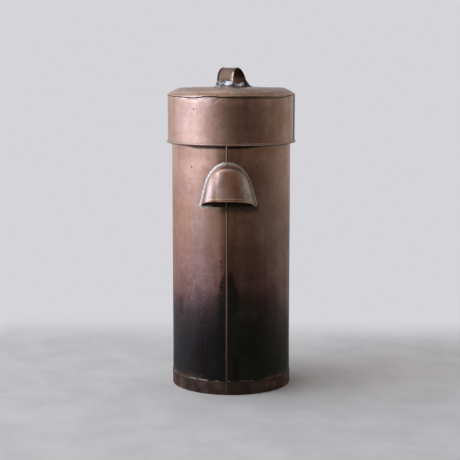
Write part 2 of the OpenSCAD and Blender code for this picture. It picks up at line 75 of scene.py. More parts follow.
# Cup grips
GRIP_W = 105 * MM
GRIP_H = 80 * MM
GRIP_DEPTH = 38 * MM
GRIP_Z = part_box("front_grip")[0].z
LIP_RISE = 13.6 * MM
GRIP_T = 1 * MM
HEM_H = 4.6 * MM
HEM = 0.9 * MM
GRIP_TAPER = 0.36
GRIP_WALL_R = WALL_R + 0.1 * MM
GRIP_OUTLINE = 5.5
SOLDER_OUTLINE = 4.7
TOP_REACH = radians(88.6)
SOLDER_STEPS = 150
FLANK_SLOPE = 0.17

# Lid
LID_SHEET = 0.7 * MM
BEAD_R = 2.25 * MM
SKIRT_R = 128.05 * MM
bead_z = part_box("lid_skirt")[0].z + BEAD_R
skirt_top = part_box("lid_skirt")[1].z
lid_edge_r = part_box("lid_top")[1].x
lid_edge_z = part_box("lid_top")[0].z
lid_flat_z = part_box("lid_top")[1].z
LID_EDGE_H = 2.8 * MM
lid_z = lid_edge_z + LID_EDGE_H
SHOULDER_W = 28 * MM
SHOULDER_RISE = 13.2 * MM
CROWN_RISE = 0.6 * MM
FLAT_R = 62 * MM
LID_SEAM_TURN = radians(82)
FINE_FROM = 565 * MM
PATCH_TURN = -0.29
PATCH_Z = 577 * MM
CREASE_TURN = radians(-10.7)
CREASE_Z = 576 * MM
CREASE_TILT = radians(35)

# Lid handle
HANDLE_L = 84 * MM
HANDLE_H = 39.2 * MM
HANDLE_W = 33 * MM
HANDLE_T = 1.3 * MM
HANDLE_LEAN = 12 * MM
HANDLE_X = 2.5 * MM
HANDLE_HEM_W = 3 * MM
HANDLE_HEM = 0.6 * MM
HANDLE_TURN = radians(90 - 18)
FLARE = 2.6 * MM
FOOT_ROUND = 90 * MM
BLOB_XY = (-1.3 * MM, -45.0 * MM)
BLOB_RISE = 6.0 * MM

# How far the lid's edge is bent up from true, in millimetres, at turns in degrees
EDGE_LIFT = [
    (-180, 0.4), (-110, -0.6), (-70, 1.2), (-50, 0.2), (-34, -1.3), (-26, -0.3), (-21, 1.9), (-10, 2.0),
    (-6, 0.5), (6, 0.1), (20, -0.7), (40, -2.0), (52, -1.7), (75, 2.0), (110, 0.8), (180, 0.4),
]
# How wide the painted shadow ring under the lid's edge is, in millimetres, at turns in degrees
EDGE_SHADOW = [
    (-180, 1.5), (-75, 0.7), (-60, 1.4), (-30, 1.7), (-15, 2.1), (0, 2.4),
    (20, 2.1), (36, 1.3), (55, 0.9), (90, 0.7), (180, 1.5),
]
# Dents: depth in millimetres, turn in degrees, height, half width in degrees, half height. The lid's have
# a radius for the height
WALL_DENTS = [
    (0.7, -42, 0.46, 7, 0.025), (0.8, 40, 0.33, 9, 0.045), (0.8, -14, 0.29, 6, 0.030),
    (0.9, 140, 0.30, 8, 0.030), (0.8, -120, 0.42, 10, 0.050), (0.6, 62, 0.20, 8, 0.030),
    (0.6, -55, 0.16, 8, 0.030),
]
SKIRT_DENTS = [
    (0.6, -30, 0.583, 9, 0.005), (0.5, 9, 0.583, 5, 0.005), (0.7, 44, 0.580, 7, 0.007),
    (0.7, -40, 0.545, 6, 0.020), (0.6, 12, 0.535, 8, 0.030), (0.6, 52, 0.545, 6, 0.014),
    (0.7, 170, 0.540, 8, 0.025),
]
LID_DENTS = [(0.8, 43, 0.109, 6, 0.006), (0.7, -52, 0.112, 9, 0.006)]
# What is left of the foot's line of solder, between turns in degrees
FOOT_SOLDER = [
    (-41, -31.5), (-29.5, -19.5), (-12, -8), (0.5, 2.5), (11, 24), (35, 49), (53, 60),
    (92, 108), (141, 149), (171, 190), (214, 221), (250, 266), (288, 297),
]

# Camera: where the photograph was taken from
CAMERA_TURN = radians(3.2)
CAMERA_DISTANCE = 2431.7 * MM
CAMERA_HEIGHT = 651.8 * MM
AIM_HEIGHT = 313.9 * MM
AIM_LEFT = 2.4 * MM
LENS = 93.9


# ---- Mesh helpers ----


def make(name, points, faces, sharp=40):
    """A smooth-shaded mesh object with its faces turned outward and its hard edges kept."""
    mesh = bpy.data.meshes.new(name)
    mesh.from_pydata([tuple(p) for p in points], [], [tuple(int(i) for i in f) for f in faces])
    mesh.validate()
    shell = bmesh.new()
    shell.from_mesh(mesh)
    if shell.calc_volume(signed=True) < 0:
        mesh.flip_normals()
    shell.free()
    piece = bpy.data.objects.new(name, mesh)
    bpy.context.scene.collection.objects.link(piece)
    mesh.shade_smooth()
    mesh.set_sharp_from_angle(angle=radians(sharp))
    return piece


def grid_faces(rows, columns, close_rows=False, close_columns=False):
    """Quads over a grid of points stored row by row."""
    faces = []
    for i in range(rows if close_rows else rows - 1):
        for j in range(columns if close_columns else columns - 1):
            k = (j + 1) % columns
            near, far = i * columns, ((i + 1) % rows) * columns
            faces.append((near + j, near + k, far + k, far + j))
    return faces


def loft(name, rows, sharp=40, closed=False):
    """Skins a tube through rows of points, each a closed section, and caps its ends or joins them."""
    rows = np.array(rows)
    count, width = rows.shape[:2]
    faces = grid_faces(count, width, close_rows=closed, close_columns=True)
    if not closed:
        last = (count - 1) * width
        faces += [list(range(width))[::-1], list(range(last, last + width))]
    return make(name, rows.reshape(-1, 3), faces, sharp)


def round_z(turn, r, z):
    """The point at a turn, radius and height."""
    return np.stack([r * np.sin(turn), -r * np.cos(turn), z + 0 * turn], -1)


def lathe(name, outline, steps, shift=None):
    """Turns an outline of (radius, height) round Z. An outline that starts on the axis also ends on it and
    runs out over the top; any other is closed and runs up the outside. shift(turn, radius, height) gives
    how far each point moves out and up."""
    radius, height = np.array(outline, float).T
    turn = np.linspace(0, 2 * PI, steps, endpoint=False)[:, None]
    r, z = np.repeat(radius[None], steps, 0), np.repeat(height[None], steps, 0)
    if shift:
        out, up = shift(turn, r, z)
        r, z = r + out, z + up
    count = len(outline)
    points = round_z(turn, r, z).reshape(-1, 3)
    if radius[0] > 1e-9:
        faces = grid_faces(steps, count, close_rows=True, close_columns=True)
        return make(name, points, [f[::-1] for f in faces])
    # the first and last points of all the rings lie on the axis, and are one point each
    points[0], points[count - 1] = (0, 0, z[:, 0].mean()), (0, 0, z[:, -1].mean())
    own = np.arange(steps * count)
    own[0::count] = 0
    own[count - 1 :: count] = count - 1
    faces = []
    for face in grid_faces(steps, count, close_rows=True):
        corners = list(dict.fromkeys(own[i] for i in face))
        if len(corners) > 2:
            faces.append(corners)
    used = np.unique(own)
    place = {v: n for n, v in enumerate(used)}
    return make(name, points[used], [[place[i] for i in f] for f in faces])


def line(start, end, count):
    """Points from start towards end, without end."""
    a, b = np.array(start, float), np.array(end, float)
    return [tuple(a + (b - a) * i / count) for i in range(count)]


def arc(centre, radius, first, last, count):
    """Points on an arc in the outline's plane, angles in degrees, without the last."""
    angles = np.radians(np.linspace(first, last, count + 1)[:-1])
    return [(centre[0] + radius * cos(a), centre[1] + radius * sin(a)) for a in angles]


def flow(points, x):
    """A smooth curve through (x, y) points, level at each of them."""
    xs, ys = np.array(points, float).T
    i = np.clip(np.searchsorted(xs, x) - 1, 0, len(xs) - 2)
    t = np.clip((x - xs[i]) / (xs[i + 1] - xs[i]), 0, 1)
    return ys[i] + (ys[i + 1] - ys[i]) * t * t * (3 - 2 * t)


def degrees_of(turn):
    return (np.degrees(turn) + 180) % 360 - 180


def waves(seed, around, up, count=9):
    """A smooth uneven field over turn and height, from -1 to 1, that closes round the drum."""
    rng = np.random.default_rng(seed)
    terms = [
        (rng.integers(1, around + 1), rng.uniform(-up, up), rng.uniform(0, 2 * PI), rng.uniform(0.4, 1))
        for _ in range(count)
    ]
    total = sum(t[3] for t in terms)
    return lambda turn, z: sum(w * np.sin(k * turn + u * z + p) for k, u, p, w in terms) / total


def bump(turn, z, at_turn, at_z, wide, high):
    """A round hill of height 1 on the drum's side; wide is in degrees and high in metres."""
    around = (turn - radians(at_turn) + PI) % (2 * PI) - PI
    return np.exp(-((around / radians(wide)) ** 2) - ((z - at_z) / high) ** 2)


def dented(turn, z, dents):
    """How deep all the dents together are, in millimetres."""
    return sum(deep * bump(turn, z, *place) for deep, *place in dents)


def step(x, low, high):
    """0 below low, 1 above high, and smooth between."""
    t = np.clip((x - low) / (high - low), 0, 1)
    return t * t * (3 - 2 * t)


# ---- Drum wall ----


def wall_outline():
    """The wall's section: up the outside, round the rolled rim, and down the inside."""
    inner = WALL_R - SHEET
    meet = sqrt(RIM_R**2 - (rim_centre_r - WALL_R) ** 2)
    start = degrees(atan2(-meet, WALL_R - rim_centre_r)) % 360
    centre = (rim_centre_r, rim_centre_z)
    edge = 0.35 * MM
    return (
        arc((FOOT_R - edge, edge), edge, -90, 0, 3)
        + line((FOOT_R, edge), (FOOT_R, SHOULDER_Z), 8)
        + line((FOOT_R, SHOULDER_Z), (WALL_R, FOOT_H), 3)
        + line((WALL_R, FOOT_H), (WALL_R, rim_centre_z - meet), 130)
        + arc(centre, RIM_R, start, 540, 18)
        + line((inner, rim_centre_z), (inner, FOOT_H), 60)
        + line((inner, FOOT_H), (FOOT_R - SHEET, SHOULDER_Z), 2)
        + line((FOOT_R - SHEET, SHOULDER_Z), (FOOT_R - SHEET, 0), 3)
    )


def wall_shift(turn, r, z):
    """Hand-rolled sheet: it waves a little, and it is dented inward here and there."""
    slow, fine = waves(3, 7, 18), waves(4, 22, 60, 14)
    hold = step(z, FOOT_H, FOOT_H + 0.06) * (1 - step(z, rim_centre_z - 0.05, rim_centre_z - 0.02))
    for side in (0, 180):
        hold = hold * (1 - 0.85 * np.minimum(1, 1.6 * bump(turn, z, side, GRIP_Z + GRIP_H / 2, 30, 0.06)))
    inward = 0.4 * (1 + slow(turn, z)) + 0.08 * (1 + fine(turn, z)) + dented(turn, z, WALL_DENTS)
    return -inward * hold * MM, 0 * z


def wall_seam():
    """The wall's folded seam: it slopes up from the left to a ridge near its right edge, and steps out
    over the foot band."""
    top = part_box("body_seam")[1].z
    wander, rough = waves(11, 3, 22), waves(12, 3, 160, 12)
    ridge = [(-1, 0), (-0.92, 0.40), (-0.5, 0.54), (0, 0.72), (0.35, 0.90)]
    ridge += [(0.6, 1), (0.8, 0.86), (0.94, 0.45), (1, 0)]
    rows = []
    for z in np.linspace(0, top, 240):
        base = WALL_R + (FOOT_R - WALL_R) * (1 - step(z, SHOULDER_Z, FOOT_H)) + 0.06 * MM
        swell = (SEAM_PROUD - 0.12 * MM) * (0.93 + 0.07 * rough(0, z))
        aside = RIDGE_SHIFT * RIDGE_HALF + 0.12 * MM * wander(0, z)
        rows.append([(x * RIDGE_HALF + aside, -(base + high * swell), z) for x, high in ridge])
    rows = np.array(rows)
    c, s = cos(SEAM_TURN), sin(SEAM_TURN)
    rows[..., :2] = rows[..., :2] @ np.array([[c, s], [-s, c]])
    return loft("wall_seam", rows, sharp=60)


def base_solder():
    """What is left of the solder along the foot band's top edge: a thin dull bead, broken in places."""
    rng = np.random.default_rng(5)
    points, faces = [], []
    for first, last in FOOT_SOLDER:
        turns = np.radians(np.linspace(first, last, int((last - first) * 1.6) + 4))
        ends = np.sin(np.linspace(0, PI, len(turns))) ** 0.35
        thick = (0.35 + 0.40 * rng.random(len(turns))) * ends * BASE_SOLDER_H
        for turn, t in zip(turns, thick):
            inner, outer = WALL_R - 0.05 * MM, FOOT_R - 0.05 * MM
            ring = [(inner, -0.1), (outer, -1.3), (WALL_R + 0.5 * t, 0.2), (inner, 0.2 + t / MM)]
            for r, up in ring:
                points.append((r * sin(turn), -r * cos(turn), FOOT_H + up * MM))
        first_point = len(points) - 4 * len(turns)
        faces += [[first_point + i for i in f] for f in grid_faces(len(turns), 4, close_columns=True)]
        faces.append([first_point + i for i in (3, 2, 1, 0)])
        faces.append([len(points) - 4 + i for i in range(4)])
    return make("foot_solder", points, faces, sharp=70)


# ---- Cup grips ----


def arch(t, power):
    """Share of a grip's width that is left at a share of its height."""
    return (1 - GRIP_TAPER * t) * np.sqrt(np.maximum(0, 1 - t**power))


def section(x, power=3.0):
    """Share of a grip's depth across a section."""
    return np.maximum(0, 1 - np.abs(x) ** power) ** (1 / power)


def on_wall(x, depth, z):
    """A point that stands a depth proud of the wall at the front."""
    return np.stack([x, -np.sqrt(GRIP_WALL_R**2 - x * x) - depth, z], -1)


def hood(name, seed):
    """A cup grip: formed sheet with a rolled lip, dented a little by use."""
    rows, columns = 96, 121
    up = np.concatenate([np.linspace(0, HEM_H * 1.25, 16), np.linspace(HEM_H * 1.25, GRIP_H, rows - 15)[1:]])
    across = np.linspace(-1, 1, columns)
    x = np.sin(PI / 2 * across)[None, :]
    dent = waves(seed, 4, 70, 10)
    skins = []
    for inset in (0.0, GRIP_T):
        low = LIP_RISE * section(x)
        crown = GRIP_H - inset
        z = low + (crown - low) * np.sin(TOP_REACH * up / GRIP_H)[:, None]
        roll = np.clip(1 - ((up - HEM_H / 2) / (HEM_H / 2)) ** 2, 0, 1) ** 0.6
        hem = (HEM * roll)[:, None] if inset == 0 else 0.0
        straight = np.maximum(0, (z - 9 * MM) / (crown - 9 * MM))
        half = (GRIP_W / 2 - inset) * arch(np.minimum(1, z / crown), GRIP_OUTLINE)
        uneven = 0.22 * MM * (dent(across[None, :] * 2, z) - 1) * section(x)
        depth = (GRIP_DEPTH - inset + hem + uneven) * np.maximum(0, 1 - straight**2.4) ** (1 / 2.4)
        skins.append(on_wall(half * x, depth * section(x, 3.9), GRIP_Z + z).reshape(-1, 3))
    count = rows * columns
    faces = [f[::-1] for f in grid_faces(rows, columns)]
    faces += [tuple(i + count for i in f[::-1]) for f in faces]
    grid = np.arange(count).reshape(rows, columns)
    border = np.concatenate([grid[0], grid[1:, -1], grid[-1, -2::-1], grid[-2:0:-1, 0]])
    faces += [(a, b, count + b, count + a) for a, b in zip(border, np.roll(border, -1))]
    return make(name, np.concatenate(skins), faces, sharp=50)


def solder_path():
    """Round a grip from its left corner over the crown to the right one: the share of the height, the
    side, and the edges of the solder along the grip and on the wall, each as (x, z)."""
    t = np.sin(TOP_REACH * np.linspace(0, 1, SOLDER_STEPS))
    t = np.concatenate([t, t[::-1]])
    side = np.repeat([-1.0, 1.0], SOLDER_STEPS)
    inner = (side * (GRIP_W / 2 + 0.05 * MM) * arch(t, GRIP_OUTLINE), (GRIP_H + 0.05 * MM) * t)
    outer = (side * (GRIP_W / 2 + 6.4 * MM) * arch(t, SOLDER_OUTLINE), 1.5 * MM + (GRIP_H + 6.1 * MM) * t)
    return t, side, inner, outer


def solder_round_hood(name, seed):
    """Solder run round a grip by hand: a lumpy fillet, wider over the crown, between a crevice along the
    grip, painted dark as shade, and a thin dark flux stain on the wall."""
    rng = np.random.default_rng(seed)
    lumps = waves(seed + 1, 26, 1, 16)
    edge_waves, stain_waves = waves(seed + 2, 34, 1, 18), waves(seed + 3, 40, 1, 18)
    t, side, inner, outer = solder_path()
    trace = np.linspace(0, 2 * PI, 2 * SOLDER_STEPS)
    wide = 0.78 + 0.10 * t**3 + 0.06 * side * (1 - t) + 0.12 * edge_waves(trace, 0)
    high = (1.9 + 0.7 * t**3 + 0.35 * lumps(trace, 0)) * MM

    def at(share, depth):
        x = inner[0] + (outer[0] - inner[0]) * share
        z = inner[1] + (outer[1] - inner[1]) * share
        return on_wall(x, depth, GRIP_Z + z)

    columns = [at(0 * t, high * 1.02)]
    profile = 11
    for k in range(profile):
        s = k / (profile - 1)
        grain = 0.12 * MM * rng.standard_normal(2 * SOLDER_STEPS) * s * (1 - s)
        proud = high * (0.92 - 0.75 * s**1.5) * (1 - s**6) + 0.14 * MM + grain
        columns.append(at((0.07 + 0.93 * s) * wide, proud))
    stain = wide + 0.10 + 0.08 * stain_waves(trace, 0)
    columns += [at(stain, 0.05 * MM), at(stain, -0.05 * MM), at(0 * t, -0.05 * MM)]
    piece = loft(name, np.stack(columns, 1), sharp=70)
    paint_crevices(piece, len(columns), profile)
    return piece


def paint_crevices(piece, width, profile):
    """Gives the crevice along the left and top of the grip, painted dark as shade, and the flux stain their
    own paints.
    """
    for i, face in enumerate(piece.data.polygons):
        row, column = divmod(i, width)
        if column == 0 and row < SOLDER_STEPS * 1.3:
            face.material_index = 1
        elif profile <= column <= profile + 1:
            face.material_index = 2


def tin_inside(piece):
    """Gives the faces that look to the axis, or down, the piece's second paint."""
    for face in piece.data.polygons:
        out = Vector((face.center.x, face.center.y, 0)).normalized()
        if face.normal.dot(out) < -0.5 or (face.normal.z < -0.5 and face.center.z > 0.5):
            face.material_index = 1
    return piece


def to_rear(piece):
    """Turns a front piece's mesh to the rear of the drum."""
    for v in piece.data.vertices:
        v.co.x, v.co.y = -v.co.x, -v.co.y
    return piece


# ---- Lid ----


def lid_rise(r):
    """Height of the lid's outer face above its edge."""
    shoulder = SKIRT_R - SHOULDER_W
    out = np.clip((r - shoulder) / SHOULDER_W, 0, 1)
    inward = np.clip((shoulder - r) / (shoulder - FLAT_R), 0, 1)
    return SHOULDER_RISE * (1 - out**1.5) + CROWN_RISE * np.sin(PI / 2 * inward)


def lid_outline():
    """The lid's section from its middle, over the shoulder, round the edge and back underneath."""
    shoulder = SKIRT_R - SHOULDER_W
    radii = np.concatenate([np.linspace(0, shoulder, 24)[:-1], np.linspace(shoulder, SKIRT_R, 26)])
    top = [(r, lid_z + float(lid_rise(r))) for r in radii]
    roll = 0.75 * MM
    edge = arc((lid_edge_r - roll, lid_z - roll), roll, 80, 0, 5)
    inner_r = lid_edge_r - LID_SHEET
    down = line((lid_edge_r, lid_z - roll), (lid_edge_r, lid_edge_z + 0.3 * MM), 3)
    lip = arc((lid_edge_r - LID_SHEET / 2, lid_edge_z + 0.3 * MM), LID_SHEET / 2, 0, -180, 5)
    under = [(r, z - LID_SHEET) for r, z in top[::-1]]
    return top[:-1] + edge + down + lip + [(inner_r, lid_z - LID_SHEET)] + under


def edge_lift(turn):
    return flow(EDGE_LIFT, degrees_of(turn)) * MM


def lid_shift(turn, r, z):
    """The lid's sheet is beaten and uneven, its right side is bent up, and its edge wanders."""
    slow, edge_wave, fine = waves(21, 5, 20), waves(22, 19, 1, 12), waves(23, 14, 40, 12)
    rim = step(r, 0.118, 0.128)
    shoulder = np.exp(-(((r - 0.101) / 0.010) ** 2))
    middle = (1 - step(r, 0.100, 0.122)) * step(r, 0.058, 0.080)
    inward = rim * (0.12 + 0.10 * edge_wave(turn, 0)) * MM
    low = np.clip((lid_z - z) / LID_EDGE_H, 0, 1)
    lift = edge_lift(turn) * rim * (0.35 + 0.65 * low)
    right = 1.3 * MM * bump(turn, 0, 72, 0, 38, 1) * step(r, 0.085, 0.105)
    sink = middle * (0.30 + 0.30 * slow(turn, r)) * MM + shoulder * (0.30 + 0.30 * fine(turn, 0)) * MM
    sink = sink + dented(turn, r, LID_DENTS) * MM
    return -inward, lift + right * (1 - 0.6 * rim) - sink


def edge_shadow_ring():
    """A dark ring under the lid's turned edge: painted shadow in the gap there."""
    top, deep = lid_edge_z + 1.2 * MM, 1.2 * MM
    r_in, r_out = SKIRT_R - 1.5 * MM, SKIRT_R + 0.30 * MM
    outline = line((r_out, top - deep), (r_out, top), 4) + [(r_out, top), (r_in, top), (r_in, top - deep)]
    rough = waves(24, 60, 1, 24)

    def shift(turn, r, z):
        low = (top - z) / deep
        gap = flow(EDGE_SHADOW, degrees_of(turn)) * MM * (1 + 0.22 * rough(turn, 0))
        return -0.25 * MM * low, edge_lift(turn) - gap * low

    return lathe("edge_shadow_ring", outline, 720, shift)


def skirt_outline():
    """The skirt's section: up the outside, down the inside, and round the bead."""
    inner = SKIRT_R - LID_SHEET
    return (
        line((SKIRT_R, bead_z + BEAD_R), (SKIRT_R, FINE_FROM), 34)
        + line((SKIRT_R, FINE_FROM), (SKIRT_R, skirt_top), 40)
        + line((SKIRT_R, skirt_top), (inner, skirt_top), 2)
        + line((inner, skirt_top), (inner, bead_z + BEAD_R), 24)
        + arc((SKIRT_R, bead_z), BEAD_R - 0.06 * MM, 105, 448, 26)
    )


def skirt_crease(turn, z):
    """The sheet is knocked in under the edge, left of the front, and folds along a slanted crease."""
    along = (turn + PI) % (2 * PI) - PI
    u, v = (along - CREASE_TURN) * SKIRT_R, z - CREASE_Z
    c, s = cos(CREASE_TILT), sin(CREASE_TILT)
    across, length = v * c - u * s, u * c + v * s
    wedge = step(across, -1.5 * MM, 2.6 * MM) * np.exp(-(across / (7 * MM)) ** 2)
    return wedge * step(length, -9 * MM, 4 * MM) * (1 - step(length, 17 * MM, 24 * MM))


def skirt_shift(turn, r, z):
    """The skirt is a little out of round, creased under the lid's edge, and its bead wavers."""
    slow, fine, wavy = waves(31, 6, 30), waves(32, 20, 70, 12), waves(33, 11, 1, 10)
    hold = step(z, bead_z + 0.002, bead_z + 0.02)
    inward = 0.28 * (1 + slow(turn, z)) + 0.07 * (1 + fine(turn, z)) + dented(turn, z, SKIRT_DENTS)
    inward = inward + 0.35 * skirt_crease(turn, z)
    low = 1 - step(z, bead_z + 0.004, bead_z + 0.03)
    up = low * (0.8 + 0.6 * np.sin(turn) + 0.25 * wavy(turn, 0)) * MM
    return -inward * hold * MM, up


def skirt_seam():
    """The skirt's folded seam: a raised fold with a sharp right edge."""
    low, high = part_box("lid_skirt_seam")[0].z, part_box("lid_skirt_seam")[1].z
    wander = waves(41, 3, 60)
    rows = []
    for z in np.linspace(low, high, 90):
        arm = np.array([-2.35, -2.1, -1.4, -0.4, 0.7, 1.7, 2.2, 2.35]) + 0.1 * wander(0, z)
        out = SKIRT_R + (0.05 + np.array([0, 0.45, 0.72, 0.82, 0.95, 1.0, 0.9, 0])) * MM
        rows.append(round_z(LID_SEAM_TURN + arm * MM / SKIRT_R, out, z))
    return loft("skirt_seam", rows, sharp=50)


# ---- Lid handle ----


def on_lid(points):
    """Moves points from the handle's own place, its length along X, onto the lid."""
    c, s = cos(HANDLE_TURN), sin(HANDLE_TURN)
    x, y, z = points[..., 0], points[..., 1], points[..., 2]
    return np.stack([HANDLE_X + x * c - y * s, x * s + y * c, lid_flat_z + z], -1)


def strap_line(angle):
    """The middle of the strap's thickness, at an angle from the far foot over the top."""
    x = (HANDLE_L - HANDLE_T) / 2 * np.cos(angle) - HANDLE_LEAN * np.sin(angle)
    z = (HANDLE_H - HANDLE_T / 2) * np.sin(angle)
    return x, z


def handle():
    """The strap handle: bent sheet with both edges rolled over, a little uneven."""
    wander, twist = waves(71, 3, 1), waves(72, 5, 1)
    inside = np.linspace(-1, 1, 15) * (HANDLE_W / 2 - HANDLE_HEM_W)
    roll = HANDLE_HEM_W / 2
    middle = HANDLE_W / 2 - roll
    half = HANDLE_T / 2
    thick = half + HANDLE_HEM - 0.03 * MM
    angles = np.radians(np.linspace(155, -155, 13))
    right = [(middle + roll * cos(a), thick * sin(a)) for a in angles]
    left = [(-y, -n) for y, n in right]
    profile = right + [(y, -half) for y in inside[::-1]] + left + [(y, half) for y in inside]
    rows = []
    for angle in np.linspace(0, PI, 121):
        x, z = strap_line(angle)
        ahead = np.array(strap_line(angle + 0.001)) - np.array(strap_line(angle - 0.001))
        normal = np.array([ahead[1], -ahead[0]]) / np.linalg.norm(ahead)
        free = sin(angle)
        y_off = 0.35 * MM * wander(angle, 0) * free
        bulge = -0.25 * MM * (1 + twist(angle, 0)) * free
        row = []
        for y, n in profile:
            n += bulge
            flare = FLARE * step(-y, 0, HANDLE_W / 2) * step(angle, radians(105), radians(165))
            row.append((x + normal[0] * n, y * (1 - 0.012 * free) + y_off - flare, z + normal[1] * n))
        rows.append(row)
    return loft("strap_handle", on_lid(np.array(rows)), sharp=50)


def foot_edge(side, angle):
    """The strap's edge at an angle round one of its feet, and the way outward from there."""
    c, s = cos(angle), sin(angle)
    squared = (abs(c) ** 6 + abs(s) ** 6) ** (-1 / 6)
    base = np.array([c * squared * (HANDLE_T / 2 + 0.55 * MM), s * squared * (HANDLE_W / 2 + 0.15 * MM)])
    if side < 0:
        base[1] -= FLARE * step(-base[1], 0, HANDLE_W / 2)
    away = np.array([c * (0.5 + 0.5 * abs(c)), s])
    return base, away / hypot(*away)


def foot_solder(side, seed, coat, spread, lumps):
    """Solder heaped round one foot of the strap. coat gives its height up the strap and spread its reach
    over the lid, both at angles round the foot; a lump is (angle, height, size, how far it stands out)."""
    rng = np.random.default_rng(seed)
    grain, wavy = waves(seed, 14, 1, 12), waves(seed + 1, 9, 1, 9)
    steps, profile = 144, 22
    rows = []
    for angle in np.linspace(0, 2 * PI, steps, endpoint=False):
        base, away = foot_edge(side, angle)
        around = degrees(angle)
        high = flow(coat, around) * (1 + 0.10 * grain(angle, 0)) * MM
        reach = flow(spread, around) * (1 + 0.12 * wavy(angle, 0)) * MM
        row = []
        for k in range(profile):
            t = k / (profile - 1)
            z = high * (1 - t) ** 1.25
            out = reach * t**2.6 + 0.5 * MM * sin(PI * min(1, t * 1.5)) + 0.12 * MM
            for at, up, size, proud in lumps:
                apart = (around - at + 180) % 360 - 180
                distance = (apart / 360 * FOOT_ROUND) ** 2 + (z - up * MM) ** 2
                out += proud * MM * exp(-distance / (size * MM) ** 2)
            out += 0.10 * MM * rng.standard_normal() * t * (1 - t) * 4
            up_strap = asin(min(1, z / HANDLE_H))
            lean_x, _ = strap_line(up_strap if side > 0 else PI - up_strap)
            flat = base + away * out
            row.append((lean_x + flat[0], flat[1], z + 0.02 * MM))
        under = (row[0][0] - base[0] * 0.5, row[0][1] - base[1] * 0.3)
        row += [(*row[-1][:2], -0.02 * MM), (*under, -0.02 * MM), (*under, row[0][2])]
        rows.append(row)
    name = "solder_far_foot" if side > 0 else "solder_near_foot"
    return loft(name, on_lid(np.array(rows)), sharp=80, closed=True)


# ---- Paint ----


class Value:
    """What a node gives: a number or a colour. Arithmetic with it adds maths nodes."""

    def __init__(self, nodes, socket):
        self.nodes, self.socket = nodes, socket

    def __add__(self, other):
        return self.nodes.math("ADD", self, other)

    def __mul__(self, other):
        return self.nodes.math("MULTIPLY", self, other)

    def __sub__(self, other):
        return self.nodes.math("SUBTRACT", self, other)

    def __rsub__(self, other):
        return self.nodes.math("SUBTRACT", other, self)

    def __truediv__(self, other):
        return self.nodes.math("DIVIDE", self, other)

    def __abs__(self):
        return self.nodes.math("ABSOLUTE", self)

    __radd__, __rmul__ = __add__, __mul__


def together(masks):
    """All the masks multiplied."""
    return prod(masks[1:], start=masks[0])


